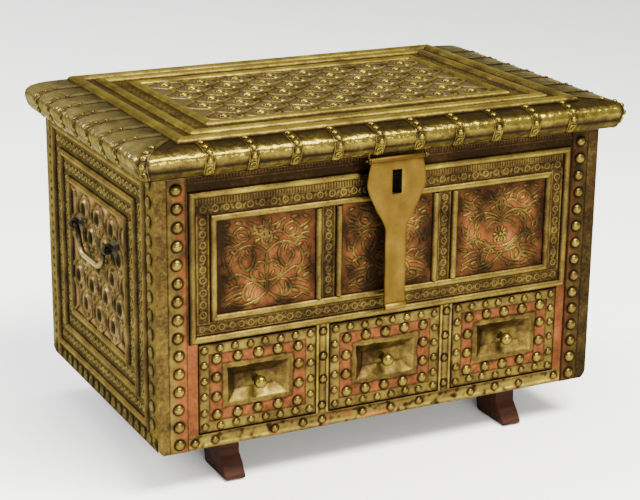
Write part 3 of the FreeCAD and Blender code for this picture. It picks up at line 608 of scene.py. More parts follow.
    def shape(self, gain=0.45, reach=4.0, back=0.3, thickness=0.0):
        """The sheet as a closed shape, flat at the back or of one thickness all over."""
        tones = self.tone(gain, reach)
        columns, rows = len(self.x) - 1, len(self.y) - 1

        def rule(u, v):
            i, j = round(u * columns), round(v * rows)
            return (Vector((self.x[i], self.y[j], self.rise[j, i] + 0.12)), float(tones[j, i]),
                    float(self.brass[j, i]))

        bm = grid_shape(columns, rows, rule)
        if thickness:
            for vert in second_skin(bm):
                vert.co.z -= thickness
        else:
            rims = [edge for edge in bm.edges if edge.is_boundary]
            for vert in new_verts(bmesh.ops.extrude_edge_only(bm, edges=rims)):
                vert.co.z = -back
            close(bm)
        return bm


# Ornament

def scroll_row(relief, x0, x1, y, pitch, radius, upright=False, height=0.7):
    """Rings with a bead inside and a slanting leaf between, along a row or a column, and fine stamping round."""
    count = max(1, round((x1 - x0) / pitch))
    pitch = (x1 - x0) / count
    for number in range(count):
        along = x0 + (number + 0.5 + random.uniform(-0.06, 0.06)) * pitch
        for _ in range(7):
            s, aside = along + random.uniform(-0.5, 0.5) * pitch, y + random.uniform(-1.1, 1.1) * radius
            relief.dot(*((aside, s) if upright else (s, aside)), random.uniform(0.9, 1.3), height * 0.6)
        wave = 1 if number % 2 else -1
        for kind, shift in (("ring", 0.0), ("leaf", 0.5)):
            s = along + shift * pitch
            if s > x1 - radius / 2:
                continue
            x, yy = (y, s) if upright else (s, y)
            if kind == "ring":
                relief.ring(x, yy, radius * random.uniform(0.56, 0.66), radius * 0.24, height)
                relief.dot(x, yy, radius * 0.26, height)
            else:
                lean = (math.pi / 2 if upright else 0) + wave * 0.9
                relief.leaf(x, yy, lean, radius * random.uniform(0.7, 0.95), radius * 0.28, height)
                side = wave * radius * 0.55
                spot = (x + side, yy) if upright else (x, yy - side)
                relief.dot(*spot, radius * 0.22, height * 0.7)


def teeth_row(relief, x0, x1, y0, y1, pitch, upright=False):
    """A row of small teeth across a band."""
    count = round((x1 - x0) / pitch)
    for number in range(count):
        s = x0 + (number + 0.5) * (x1 - x0) / count
        line = [(y0, s), (y1, s)] if upright else [(s, y0), (s, y1)]
        relief.stroke(line, pitch * 0.34, 0.6)


def lines_along(relief, places, start, end, radius=0.8, upright=False):
    """Fine raised lines along a band."""
    for place in places:
        relief.stroke([(place, start), (place, end)] if upright else [(start, place), (end, place)], radius, 0.5)


def bands_round(x0, x1, y0, y1, wide, top, mottle, shade, pitch, radius, height, tooth):
    """Four stamped bands inside a rectangle. With top, the teeth stand along upper edges."""
    bm = bmesh.new()
    flat = [(x0, x1, y1 - wide, y1), (x0, x1, y0, y0 + wide)]
    tall = [(x0, x0 + wide, y0 + wide, y1 - wide), (x1 - wide, x1, y0 + wide, y1 - wide)]
    for number, (x0, x1, y0, y1) in enumerate((flat if top else flat[::-1]) + tall):
        band = Relief(x0, x1, y0, y1, 1.1)
        band.tint += band.cloud(25, x0) * mottle + shade
        if number > 1:
            scroll_row(band, y0 + 1, y1 - 1, (x0 + x1) / 2, pitch, radius, True, height)
            teeth_row(band, y0, y1, x0 + 1, x0 + 3.4, tooth, True)
        else:
            scroll_row(band, x0 + 2, x1 - 2, (y0 + y1) / 2, pitch, radius, False, height)
            teeth_row(band, x0, x1, *((y1 - 3.4, y1 - 1) if top else (y0 + 1, y0 + 3.4)), tooth)
        join(bm, band.shape())
    return bm


# Half of a scrolling pattern, in hundredths of its half width and height. The other half mirrors it.
STEMS = [[(0, -68), (20, -50), (42, -32), (62, -22), (80, -30), (93, -22)],
         [(0, -68), (14, -82), (36, -93), (60, -96), (78, -86), (92, -94)],
         [(22, -52), (30, -66), (34, -82), (46, -84), (52, -68), (44, -50), (32, -46)],
         [(40, -58), (43, -68), (40, -76)], [(50, -50), (70, -52), (88, -62)], [(52, -66), (70, -70), (90, -80)],
         [(0, 20), (16, 34), (38, 40), (60, 32), (76, 10), (78, -12), (62, -30)], [(60, 32), (74, 44), (90, 40)],
         [(80, 2), (90, 10), (94, 24)], [(0, 50), (12, 62), (26, 66), (38, 60)],
         [(36, 58), (40, 76), (56, 82), (68, 72), (64, 56), (50, 50), (38, 58)], [(66, 66), (80, 72), (94, 82)],
         [(50, 50), (66, 44), (78, 52), (92, 54)], [(0, 36), (10, 48), (10, 64), (0, 78)],
         [(0, 92), (12, 80), (30, 88), (40, 94)], [(0, 90), (-2, 70), (0, 40)]]
FLOWER_STEMS = [[(0, -60), (30, -56), (54, -36), (60, -6), (46, 20), (22, 28), (0, 16)], [(44, 36), (58, 22), (60, 2)],
                [(60, -10), (74, -20), (90, -6)], [(10, 16), (24, 12), (34, 0)], [(0, -46), (22, -42), (40, -26)]]
LEAF_STEMS = [[(0, 20), (2, -10), (0, -34), (-2, -68)],
              [(34, 36), (26, 18), (30, -2), (40, -16), (50, -10), (58, 8), (52, 20), (44, 12)],
              [(0, -6), (12, 0), (22, -4), (26, -12), (16, -14)],
              [(0, -46), (16, -44), (30, -34), (34, -20), (24, -12)]]
LEAVES = [(86, -44, 0.3, 11), (62, -78, -0.3, 10), (22, -92, -0.6, 9), (70, -36, 0.9, 9), (90, 2, 1.2, 8),
          (70, 28, 0.5, 8), (24, 76, 0.9, 10), (52, 66, 0.4, 8), (20, 50, -0.4, 8), (84, 64, 0.4, 9),
          (12, -30, 1.0, 8), (60, 94, 0.1, 9), (84, 92, -0.3, 8), (6, 90, 1.2, 8), (42, 26, 1.1, 7)]


def scrolls(relief, x, y, wide, tall, flower):
    """A symmetrical panel of thin scrolling stems and leaves, crossing low in the middle."""
    stems = STEMS + (FLOWER_STEMS if flower else LEAF_STEMS)
    half_x, half_y = wide / 2 - 3, tall / 2 - 3
    for side in (-1, 1):
        for stem in stems:
            path = [(x + side * (px / 100) * half_x, y + (py / 100) * half_y) for px, py in stem]
            relief.stroke(path, 1.6, 1.0, taper=0.35, grooved=0.35)
        for px, py, angle, size in LEAVES:
            lean = angle if side > 0 else math.pi - angle
            length = size / 100 * half_x
            relief.leaf(x + side * (px / 100) * half_x, y + (py / 100) * half_y, lean, length, length * 0.36, 1.2)
    for _ in range(130):
        px, py, lean = random.uniform(0.05, 0.95), random.uniform(-0.93, 0.93), random.uniform(-1.4, 1.4)
        spot = (x + px * half_x, y + py * half_y)
        if relief.rise[relief.spot(*spot, 3.6)[0]].max() < 0.2:
            size = random.uniform(2.6, 4.4)
            relief.leaf(*spot, lean, size, 1.3, 0.9)
            relief.leaf(2 * x - spot[0], spot[1], math.pi - lean, size, 1.3, 0.9)
    if flower:
        middle = y - 0.15 * half_y
        for petal in range(10):
            angle = math.tau / 10 * petal
            relief.leaf(x + 6.6 * math.cos(angle), middle + 6.6 * math.sin(angle), angle, 4.4, 1.7, 1.4)
        relief.dot(x, middle, 2.4, 1.7)
    relief.tint -= np.where(relief.rise > 0.2, 0.01, 0.0)
    relief.outlined(0.30)
    relief.rise = np.where(relief.rise > 0.2, relief.rise, 0.0)


def net_wave(v):
    """How far a rib of the net swings to one side at a height."""
    return math.cos(math.pi * v / NET_ROW) - 0.12 * math.cos(3 * math.pi * v / NET_ROW)


def net_ribs(relief, wide, tall, middle, radius, height):
    """The ribs of an ogee net, which meet between the cells."""
    half = NET_PITCH / 2
    columns = int(wide / half / 2) + 2
    steps = int(tall / 5) + 1
    for k in range(-columns, columns):
        sign = -1 if k % 2 else 1
        line = []
        for number in range(steps + 1):
            v = -tall / 2 + tall * number / steps
            line.append(((k + 0.5) * half + sign * half / 2 * net_wave(v) / 1.06, middle + v))
        relief.stroke(line, radius, height, grooved=0.3)


def net_places(wide, tall, middle):
    """The middles of the cells of the net."""
    rows = int(tall / NET_ROW / 2) + 1
    columns = int(wide / NET_PITCH / 2) + 1
    found = []
    for row in range(-rows, rows + 1):
        for column in range(-columns - 1, columns + 2):
            x = (column + (0.5 if row % 2 else 0)) * NET_PITCH
            y = row * NET_ROW
            if abs(x) < wide / 2 - 2 and abs(y) < tall / 2 - 2:
                found.append((x, middle + y))
    return found


def net_corners(net, x, y, depth, wide, tall, leaf):
    """A dark hollow and two small leaves on each side of a cell of the net."""
    for way in (-1, 1):
        window, across, up = net.spot(x + way * 21.5, y, 11)
        net.tint[window] -= depth * np.exp(-(across / wide) ** 2 - (up / tall) ** 2)
        for end in (-1, 1):
            net.leaf(x + way * 13.5, y + end * 13.0, -end * way * 0.75, *leaf)


def row_of(count, x0, x1, y):
    """Places of nails in a row, none quite in line."""
    return [(x0 + (x1 - x0) * n / (count - 1) + random.uniform(-0.7, 0.7), y + random.uniform(-0.7, 0.7))
            for n in range(count)]


def pins_round(x0, x1, y0, y1, inset, gap):
    """Small pins along four rods."""
    found = []
    count = max(2, round((x1 - x0) / gap))
    for n in range(count):
        s = x0 + (n + 0.5) * (x1 - x0) / count + random.uniform(-6, 6)
        found += [(s, y0 + inset), (s + random.uniform(-9, 9), y1 - inset)]
    count = max(2, round((y1 - y0) / gap))
    for n in range(count):
        s = y0 + (n + 0.5) * (y1 - y0) / count + random.uniform(-5, 5)
        found += [(x0 + inset, s), (x1 - inset, s + random.uniform(-8, 8))]
    return found


# The front
bm = rods_round(*OUTER_FRAME, 9.5, ROD_PROUD)
tone = bm.verts.layers.float["tone"]
# The outer rods are painted darker behind the hasp, as painted shade.
for vert in bm.verts:
    if vert.co.y > 300 and abs(vert.co.x) < 40:  # behind the hasp
        vert[tone] -= 0.5
settle(bm, "front_outer_rods", "chest", rod_brass, FRONT, ["outer_frame"])
settle(rods_round(*INNER_FRAME, 9.0, ROD_PROUD), "front_inner_rods", "chest", rod_brass, FRONT, ["inner_frame"])
bm = bmesh.new()
panel_tall = PANEL_HIGH - PANEL_LOW
quarter_turn = Matrix.Rotation(math.pi / 2, 4, "Z")
# The mullion rods stand upright and take painted shade, like the upright rods of the frames.
for middle in (side * MULLION_X + edge for side in (-1, 1) for edge in (-MULLION_ROD, MULLION_ROD)):
    join(bm, rod(panel_tall, 9.0, ROD_PROUD, False, -0.07),
         move(middle, PANEL_LOW + panel_tall / 2, 0) @ quarter_turn @ move(0, -4.5, 0))
settle(bm, "mullion_rods", "chest", rod_brass, FRONT, ["mullions"])
pins = pins_round(*OUTER_FRAME, 4.6, 62) + pins_round(*INNER_FRAME, 4.4, 70)
settle(domes(pins, PIN, 5.0, 10), "front_rod_pins", "chest", brass, FRONT)

# Stamped bands between the rods
band = Relief(-BAND_X, BAND_X, 288, 309, 0.9)
# The band is painted darker down its middle: the hasp's painted shadow.
band.tint += band.cloud(25, 1.5) * 0.16 - 0.10 - 0.3 * band.stripe(0, 12, 16)
teeth_row(band, -250, 250, 302.5, 307.5, 3.6)
scroll_row(band, -249, 249, 295.4, 15.0, 5.6)
lines_along(band, [301], -250, 250)
settle(band.shape(), "band_above", "chest", stamped_brass, FRONT)
band = Relief(-BAND_X, BAND_X, 142, 158.5, 0.9)
band.tint += band.cloud(25, 2.5) * 0.16 - 0.06
scroll_row(band, -249, 249, 150.3, 12.5, 5.4)
lines_along(band, [144, 156.8], -250, 250)
settle(band.shape(), "band_below", "chest", stamped_brass, FRONT)
for name, side in HANDS:
    band = Relief(*sorted((side * 232.5, side * BAND_X)), 158, 288.5, 0.9)
    band.tint += band.cloud(20, side) * 0.16 - 0.08
    scroll_row(band, 160, 287, side * 241.8, 14.0, 5.8, upright=True)
    lines_along(band, [side * 234.6, side * 248.9], 158, 288, upright=True)
    settle(band.shape(), "band_" + name, "chest", stamped_brass, FRONT)
    middle = side * MULLION_X
    strip = Relief(middle - 9, middle + 9, PANEL_LOW, PANEL_HIGH, 0.8)
    strip.tint += strip.cloud(20, side * 3) * 0.14 - 0.12
    scroll_row(strip, 168, 279, middle, 13.5, 5.4, upright=True)
    lines_along(strip, [middle - 7.6, middle + 7.6], 167, 279, 0.7, upright=True)
    settle(strip.shape(), "mullion_strip_" + name, "chest", stamped_brass, FRONT)

# The strip under the lid and the copper panels
upper = Relief(-262, 262, 318, 339.5, 1.4)
teeth_row(upper, -260, 260, 331, 336, 4.0)
lines_along(upper, [328.5], -262, 262, 0.9)
# The strip is painted dark all along as the lid's painted shadow, and darker still in the middle as the hasp's painted
# shadow.
upper.tint -= 0.29 + 0.20 * upper.stripe(0, 12, 14)
upper.brass[:] = 0.6
settle(upper.shape(), "strip_under_lid", "chest", arabesque, FRONT)
for name, x0, x1 in (("left", -224.0, -97.5), ("middle", -61.5, 61.5), ("right", 97.5, 224.0)):
    panel = Relief(x0, x1, PANEL_LOW, PANEL_HIGH, 0.62, 0.0)
    scrolls(panel, (x0 + x1) / 2, 223.2, x1 - x0, panel_tall, name == "right")
    edge = np.minimum(np.minimum(panel.x - x0, x1 - panel.x)[None, :],
                      np.minimum(panel.y - PANEL_LOW, PANEL_HIGH - panel.y)[:, None])
    stain = panel.cloud(24, x0) + 0.4 * panel.cloud(9, x1)
    panel.tint += 0.05 + stain * 0.28 - 0.24 * bell(edge, 11)
    if name == "left":
        panel.tint -= 0.20 * np.clip((-190 - panel.x) / 30, 0, 1)[None, :]
    # A stripe down the middle panel is painted darker: the hasp's painted shadow.
    if name == "middle":
        panel.tint -= 0.34 * panel.stripe(-6, 14, 9)
    settle(panel.shape(gain=0.20, reach=2.4), "arabesque_" + name, "chest", arabesque, FRONT)

# Corner strips, rail and dividers
for name, side in HANDS:
    places = [(side * 274 + random.uniform(-0.8, 0.8), 10.6 + 22.28 * n) for n in range(15)]
    strip = Relief(*sorted((side * CORNER_IN, side * CORNER_OUT)), 0.8, 339.3, 1.0, 0.0)
    cloud = strip.cloud(26, side * 7) + 0.5 * strip.cloud(8, side * 9)
    aside = (np.abs(strip.x)[None, :] - CORNER_IN) / (CORNER_OUT - CORNER_IN)
    strip.tint -= 0.10 + 0.10 * side
    strip.brass[:] = np.clip((cloud * 0.8 + (aside - 0.30) * 1.6 + 0.12) * 5, 0, 1)
    strip.tint += 0.10 + 0.16 * strip.cloud(14, side * 4) - 0.10 * np.clip((strip.y[:, None] - 150) / 150, 0, 1)
    for edge in strip.ends():
        strip.tint -= 0.30 * bell(edge, 1.4)
    for x, y in places:
        strip.halo(x, y, 6.5)
    settle(strip.shape(back=0.1), "corner_strip_" + name, "chest", arabesque, FRONT @ move(0, 0, 1))
    settle(domes(places, 6.7, 4.8, 18, ground=1.0), "corner_studs_" + name, "chest", stud_brass, FRONT)
rail = Relief(-261.5, 261.5, 1.0, 17.6, 1.1)
cloud = rail.cloud(20, 12.5)
rail.brass[:] = np.clip(0.95 - (cloud - 0.42) * 9, 0.3, 1)
rail.tint += 0.17 + rail.cloud(30, 3.5) * 0.14 - 0.8 * np.clip(rail.cloud(7, 4.5) - 0.18, 0, 1)
# A painted highlight along the rail's lower edge, and darker along its upper edge.
rail.tint += (0.22 * bell(rail.y - 4.5, 1.8) - 0.20 * bell(rail.y - 15.5, 2))[:, None]
nails = [(x, 9 + random.uniform(-1, 1)) for x in (-254, -228, -150, -112, -86, -30, 10, 50, 126, 162, 198, 252)]
for x, y in nails:
    rail.halo(x, y, 4.8, 0.42)
settle(rail.shape(back=0.1), "rail_worn_sheet", "chest", arabesque, FRONT)
for name, side in HANDS:
    middle = side * DIVIDER_X
    divider = Relief(middle - 8.2, middle + 8.2, 18.5, 132.5, 1.0)
    divider.tint += 0.12 + divider.cloud(16, side * 2.5) * 0.16
    for edge in divider.ends():
        divider.rise += 0.5 * bell(edge - 1.6, 1.2)
        divider.tint -= 0.25 * bell(edge - 4.0, 1.0)
    spots = [(middle + random.uniform(-1, 1), z) for z in (28, 62, 92, 124)]
    for x, y in spots:
        divider.halo(x, y, 4.8, 0.42)
    settle(divider.shape(back=0.1), "divider_sheet_" + name, "chest", stamped_brass, FRONT)
    nails += spots
settle(domes(nails, 4.7, 3.2), "rail_nails", "chest", stud_brass, FRONT)


# The drawers

def drawer_face(name, x):
    """The sheet of a drawer, a studded border and a plate with a sloped recess on copper, and its knob."""
    body = "drawer_" + name
    middle = DRAWER_MIDDLE
    face = Relief(x - FACE_X, x + FACE_X, middle - FACE_UP, middle + FACE_UP, 1.0, 0.0)
    across = np.abs(face.x - x)[None, :] + np.zeros_like(face.rise)
    up = np.abs(face.y - middle)[:, None] + np.zeros_like(face.rise)
    wander = face.cloud(17, x)
    border = (across > FACE_X - FACE_BORDER + wander) | (up > FACE_UP - FACE_BORDER + wander)
    plate = (across < PLATE_X + wander * 3.5) & (up < PLATE_UP + wander * 3)
    face.rise[border] = 0.35
    face.brass[border | plate] = 1.0
    rim = np.clip(1.6 - np.maximum(across - 44.6, up - 26.2), 0, 1)
    face.rise = np.maximum(face.rise, np.where(plate, 0.75 * np.clip(rim + 0.3, 0, 1), 0))
    slope = np.clip(np.maximum((across - 27) / 13, (up - 9) / 13) + wander * 0.10, 0, 1)
    dents = face.cloud(7, x + 3)
    face.rise -= np.where(plate, (1 - slope) * 9.8, 0)
    face.rise += np.where(plate, wander * 0.6 + dents * 0.45 * (1 - slope) ** 0.5, wander * 0.15)
    # Painted light and shade in the recess: darker towards its upper left, lighter towards its lower right.
    recess_light_slope = (face.x - x)[None, :] / PLATE_X - (face.y - middle)[:, None] / PLATE_UP
    face.tint += np.where(plate, -0.01 + dents * 0.08 + wander * 0.10 + 0.15 * recess_light_slope * (slope < 0.98), 0.0)
    face.tint += np.where(border, 0.09 + wander * 0.14 + dents * 0.08, 0.0)
    face.tint += np.where(border | plate, 0.0, 0.07 + dents * 0.14)
    edge = np.minimum(np.abs(FACE_X - FACE_BORDER - across) + 60 * (up > 42),
                      np.abs(FACE_UP - FACE_BORDER - up) + 60 * (across > 63))
    outside = np.maximum(across - PLATE_X, up - PLATE_UP) - wander * 3
    lip = np.minimum(FACE_X - across, FACE_UP - up)
    for shade in (bell(edge, 1.0), bell(outside - 1.0, 1.1), bell(lip, 1.8)):
        face.tint -= 0.22 * shade
    face.rise = np.maximum(face.rise, -10.0)
    big = row_of(5, x - 53, x + 53, middle + 35.2) + row_of(5, x - 53, x + 53, middle - 35.2)
    big += [(x + side * 54, middle + v) for side in (-1, 1) for v in (-12.5, 12.5)]
    small = row_of(8, x - 69, x + 69, middle + 48.7) + row_of(8, x - 69, x + 69, middle - 48.7)
    small += [(x + side * 69.6, middle + v + random.uniform(-1, 1)) for side in (-1, 1) for v in (-30, -10, 10, 30)]
    for spot in big:
        face.halo(*spot, 6.2, 0.28)
    for spot in small:
        face.halo(*spot, 4.4, 0.2)
    settle(face.shape(gain=0.16, reach=3.0, thickness=0.75), "drawer_sheet_" + name, body, drawer_metal, FRONT,
           ["drawer_face_" + name])
    settle(domes(big, 6.5, 4.4, 18), "drawer_big_studs_" + name, body, stud_brass, FRONT)
    settle(domes(small, 4.7, 3.2, ground=0.4), "drawer_small_studs_" + name, body, stud_brass, FRONT)
    profile = [(0, 14), (2.2, 13.8), (4.6, 12.6), (6.9, 10.2), (7.9, 7.2), (7.6, 4.4), (6.2, 2.0), (4.2, 0.2),
               (3.2, -0.8), (2.8, -3.2), (3.2, -6.0), (4.4, -8.4), (5.4, -9.7), (0, -9.9)]
    knob = turned(profile, bright_from=5.0)
    knob.transform(move(x, middle, 0))
    settle(knob, "knob_" + name, body, stud_brass, FRONT, ["drawer_knob_" + name])


for name, x in (("left", -DRAWER_PITCH), ("middle", 0.0), ("right", DRAWER_PITCH)):
    drawer_face(name, x)


# The sides
for name, hand, place in (("left", -1, LEFT), ("right", 1, RIGHT)):
    bm = bmesh.new()
    pins = []
    for step in (0, SIDE_STEP, 2 * SIDE_STEP):
        edges = inset(*SIDE_FRAME, step)
        join(bm, rods_round(*edges, 10.0, ROD_PROUD))
        pins += pins_round(*edges, 5.0, 78)
    settle(bm, "side_rods_" + name, "chest", side_rod_brass, place, ["side_frames_" + name])
    settle(domes(pins, PIN, 5.0, 10), "side_rod_pins_" + name, "chest", side_brass, place)

    bm = bmesh.new()
    for step in (10, 10 + SIDE_STEP):
        join(bm, bands_round(*inset(*SIDE_FRAME, step), SIDE_BAND, True, 0.14, -0.05, 12.5, 5.4, 1.3, 4.4))
    settle(bm, "side_bands_" + name, "chest", stamped_side, place)

    # Bosses along the lower edge and up the edge away from the nails
    border = Relief(-SIDE_EDGE, SIDE_EDGE, 4, 24.5, 1.3)
    for x in (-180 + 20.2 * n for n in range(19)):
        border.dot(x, 14.5, 7.4, 3.6)
        border.halo(x, 14.5, 7.0, 0.22)
        border.stroke([(x + 8, 5), (x + 9.6, 14), (x + 12, 23)], 1.0, 0.7)
    border.tint += border.cloud(22, 5) * 0.14 - 0.12
    settle(border.shape(), "side_lower_border_" + name, "chest", stamped_side, place)
    bm = bmesh.new()
    for edge in (-1, 1):
        x0, x1 = sorted((edge * (SIDE_X + 0.5), edge * SIDE_EDGE))
        rope = Relief(x0, x1, SIDE_LOW, 339.5, 1.1)
        rope.tint += rope.cloud(22, 6) * 0.12 - 0.10
        middle = edge * 174
        for z in (36 + 22.6 * n for n in range(0 if edge == hand else 14)):
            rope.dot(middle, z, 7.6, 4.2)
            rope.halo(middle, z, 7.2, 0.25)
            rope.stroke([(middle - 9, z + 3), (middle, z + 11.3), (middle + 9, z + 19)], 1.5, 1.3)
        for line in (x0 + 2, x1 - 2):
            rope.stroke([(line, 26), (line, 339)], 0.9, 0.7)
        join(bm, rope.shape())
    settle(bm, "side_rope_" + name, "chest", stamped_side, place)
    places = [(hand * 177 + random.uniform(-1, 1), 13 + 11.6 * n) for n in range(28)]
    settle(domes(places, 3.6, 2.7, 10, 0.34), "back_corner_studs_" + name, "chest", stamped_side, place)

    # The net of cups in the middle, darker behind the ends of the bail
    wide, tall, middle = 186.0, 167.0, (SIDE_LOW + SIDE_HIGH) / 2
    net = Relief(-wide / 2, wide / 2, middle - tall / 2, middle + tall / 2, 0.9, 0.0)
    net.tint += 0.15 + net.cloud(18, hand * 2) * 0.22
    net_ribs(net, wide, tall, middle, 2.2, 2.6)
    for x, y in net_places(wide, tall, middle):
        net_corners(net, x, y, 0.24, 4.2, 7.5, (6.0, 2.0, 1.6))
        net.cup(x, y, 10.0, 3.2, 2.9, -0.8)
        net.ring(x + 1.5, y - 17.0, 3.0, 1.5, 2.2)
        net.dish_hole(x + 1.5, y - 17.0, 1.8)
    for x in (-BAIL_Y, BAIL_Y):
        window, far = net.around(x, 220.0, 30)
        net.tint[window] -= 0.30 * bell(far, 17)
    net.outlined(0.26)
    net.tint += 0.10 - 0.16 * net.brass
    settle(net.shape(gain=0.13, back=1.2), "side_net_" + name, "chest", side_net_metal, place,
           ["side_lattice_" + name, "side_copper"] if hand > 0 else ["side_lattice_" + name])


# The lid. The profile of its cushion edge runs outwards from the body and up from the rim.
EDGE = [(-3, 0), (6, 0), (14, 0), (19.0, 0.4), (21.2, 2.6), (22.9, 5.6), (26, 11.9), (28, 19.5), (26.4, 25.6),
        (22.0, 29.6), (15.5, 31.9), (5, 33.6), (-10, 34.6), (-21, 34.9), (-30.5, 35)]
edge_line = smooth_path(EDGE, 1.6)
ROWS = len(edge_line) - 1
CORNER_RUN = 30.8
INNER_CORNER_X = 269.2
INNER_CORNER_Y = -158.2
SIDE_RUN = BACK_Y - INNER_CORNER_Y
FRONT_RUN = INNER_CORNER_X * 2
FAN = 100.0
RUN = SIDE_RUN * 2 + FRONT_RUN + FAN * 2


def corner_round(out):
    """The radius of a corner at a distance outwards, and the straight run on both sides of it."""
    radius = max(out - 8, 0.6)
    return radius, max(CORNER_RUN + out - radius, 0.01)


def edge_place(s, out):
    """The point on the lid's plan at a distance along the edge and outwards, and the outward direction."""
    radius, straight = corner_round(out)
    if s > RUN / 2:
        point, way = edge_place(RUN - s, out)
        return Vector((-point.x, point.y)), Vector((-way.x, way.y))
    if s < SIDE_RUN:
        return Vector((-HALF_WIDTH - out, BACK_Y - s)), Vector((-1, 0))
    if s > SIDE_RUN + FAN:
        return Vector((s - SIDE_RUN - FAN - INNER_CORNER_X, FRONT_Y - out)), Vector((0, -1))
    bend = radius * math.pi / 2
    travel = (s - SIDE_RUN) / FAN * (straight * 2 + bend)
    corner = Vector((-HALF_WIDTH - out + radius, FRONT_Y - out + radius))
    if travel < straight:
        return Vector((-HALF_WIDTH - out, INNER_CORNER_Y - travel)), Vector((-1, 0))
    if travel > straight + bend:
        return Vector((corner.x + travel - straight - bend, FRONT_Y - out)), Vector((0, -1))
    angle = (travel - straight) / radius
    way = Vector((-math.cos(angle), -math.sin(angle)))
    return corner + way * radius, way


def edge_normal(row):
    """Outwards and up, the direction that the edge's profile faces."""
    before = edge_line[max(row - 1, 0)]
    after = edge_line[min(row + 1, ROWS)]
    way = (after - before) / np.linalg.norm(after - before)
    return way[1], -way[0]


def edge_point(s, row, lift):
    """A point on the cushion edge, lifted off it."""
    out, rise = edge_line[row]
    outward, upward = edge_normal(row)
    plan, way = edge_place(s, out + outward * lift)
    return Vector((plan.x, plan.y, LID_Z + rise + upward * lift))


# Where the straps lie along the edge
LID_FRONT = FRONT_Y + 3
STRAP_HALF = 6.5
PROFILE_LENGTH = 108
strap_places = [SIDE_RUN + FAN + INNER_CORNER_X + x for x in (-243, -189, -135, -81, -27, 27, 81, 135, 189, 243)]
side_pitch = (BACK_Y - LID_FRONT) / 8
side_straps = [BACK_Y - (LID_FRONT + (n + 1) * side_pitch) for n in range(7)]
strap_places += side_straps + [RUN - s for s in side_straps]
corner_straps = [SIDE_RUN + FAN / 2, RUN - SIDE_RUN - FAN / 2]
strap_places = sorted(strap_places + corner_straps)


def edge_front(s):
    """1 on the front edge of the lid, falling to 0 on the sides. It weights the painted highlight and shade on the
    front.
    """
    return min(max((min(s, RUN - s) - SIDE_RUN - 20) / 45, 0.0), 1.0)


def edge_brass(s):
    """How much of the yellow brass shows on the edge; the greyer copy that paints the sides' dimmer light takes the
    rest, most on the left side and less on the right.
    """
    return max(edge_front(s), 0.25 if s < RUN / 2 else 0.70)


def cushion(u, v):
    """Plain hammered sections that swell a little between the straps, their tone painted with light and shade."""
    s = u * RUN
    row = round(v * ROWS)
    near = min(abs(s - place) for place in strap_places)
    swell = min(near / 14, 1.0) ** 0.6
    dents = wobble(s / 9, row / 4.0, 3)
    ripple = wobble(s / 34, row / 12, 9)
    share = row / ROWS
    over = math.sin(math.pi * min(max((share - 0.22) / 0.62, 0), 1))
    marks = wobble(s / 6.0, row / 2.6, 13)
    lift = over * (swell * 0.6 + dents * 0.35 + marks * 0.22 + ripple * 0.45 - 0.3)
    bead = bell(share - 0.30, 0.022) * 0.5
    side = edge_front(s)
    # Brighter towards the nose as a painted highlight, mottled by random hammer marks.
    tone = 0.42 + (0.34 - 0.07 * side) * over ** 3 + dents * 0.10 + ripple * 0.12
    tone -= 0.22 * math.exp(-(near / 8.0) ** 6)
    # A painted glint along the front's nose.
    tone += (0.10 if s < RUN / 2 else -0.02) * (1 - side) + 0.10 * side * bell(share - 0.43, 0.07)
    # Painted shade over the lower nose, wider on the sides.
    tone -= (0.28 - 0.10 * side) * bell(share - 0.36, 0.14 - 0.08 * side)
    # Painted shade on the underside.
    if share < 0.24:
        tone = 0.26 + dents * 0.05
    tone -= 0.26 * bell(share - 0.345, 0.014)
    # Painted shade towards the top, and over the front's upper slope.
    tone -= 0.24 * max(0.0, (share - 0.80) / 0.20) + 0.30 * side * min(max((share - 0.47) / 0.08, 0.0), 1.0)
    return edge_point(s, row, lift + bead - 0.1), tone, edge_brass(s)


def give_depth(bm, depth, wide, front, split):
    """Lay a second skin of the edge's sheet towards the inside of the lid."""
    for vert in second_skin(bm):
        vert.co.x -= math.copysign(depth, vert.co.x) if abs(vert.co.x) > wide else 0
        vert.co.y += depth if vert.co.y < front else 0
        vert.co.z += -depth if vert.co.z > LID_Z + split else depth


bm = grid_shape(600, ROWS, cushion)
give_depth(bm, 1.0, 262, -150, LID_THICK / 2)
settle(bm, "cushion_edge", "lid", cushion_brass, WHOLE, ["lid_sheet"], sharp=60.0)

NAIL_SHARES = (0.425, 0.505, 0.60, 0.71)
RING_SHARE = 0.318
bm = bmesh.new()
nail_seats = []
ring_seats = []
for place in strap_places:
    corner = place in corner_straps

    def strap(u, v, place=place, corner=corner):
        row = round(v * ROWS)
        out = edge_line[row][0]
        half = STRAP_HALF
        if corner:
            radius, straight = corner_round(out)
            half = min(STRAP_HALF / (straight * 2 + radius * math.pi / 2), 0.5) * FAN
        aside = abs(2 * u - 1)
        line = bell(aside - 0.68, 0.09)
        worn = wobble(place, u * 2, row / 6)
        lift = 0.62 - line * 0.22 - 0.2 * (aside > 0.98)
        tone = 0.56 - line * 0.30 + worn * 0.18 - 0.15 * (row / ROWS > 0.9) - 0.25 * (aside > 0.98)
        near = min(abs(row / ROWS - share) for share in NAIL_SHARES + (RING_SHARE,)) * PROFILE_LENGTH
        tone -= 0.20 * bell(math.hypot(near, aside * STRAP_HALF) - 4.2, 0.9)
        # Painted shade on the lower nose of the sides, and under the lid.
        tone -= 0.16 * (1 - edge_front(place)) * bell(row / ROWS - 0.34, 0.14)
        if row / ROWS < 0.24:
            tone -= 0.2
        tone += (0.10 if place < RUN / 2 else -0.06) * (1 - edge_front(place))
        return edge_point(place + (2 * u - 1) * half, row, lift), tone, edge_brass(place)

    band = grid_shape(16, ROWS, strap)
    give_depth(band, 0.6, 300, -180, 20)
    join(bm, band)
    nail_seats += [(place, round(share * ROWS)) for share in NAIL_SHARES]
    ring_seats.append((place, round(RING_SHARE * ROWS)))
settle(bm, "edge_straps_worked", "lid", cushion_brass, WHOLE, ["edge_straps"])


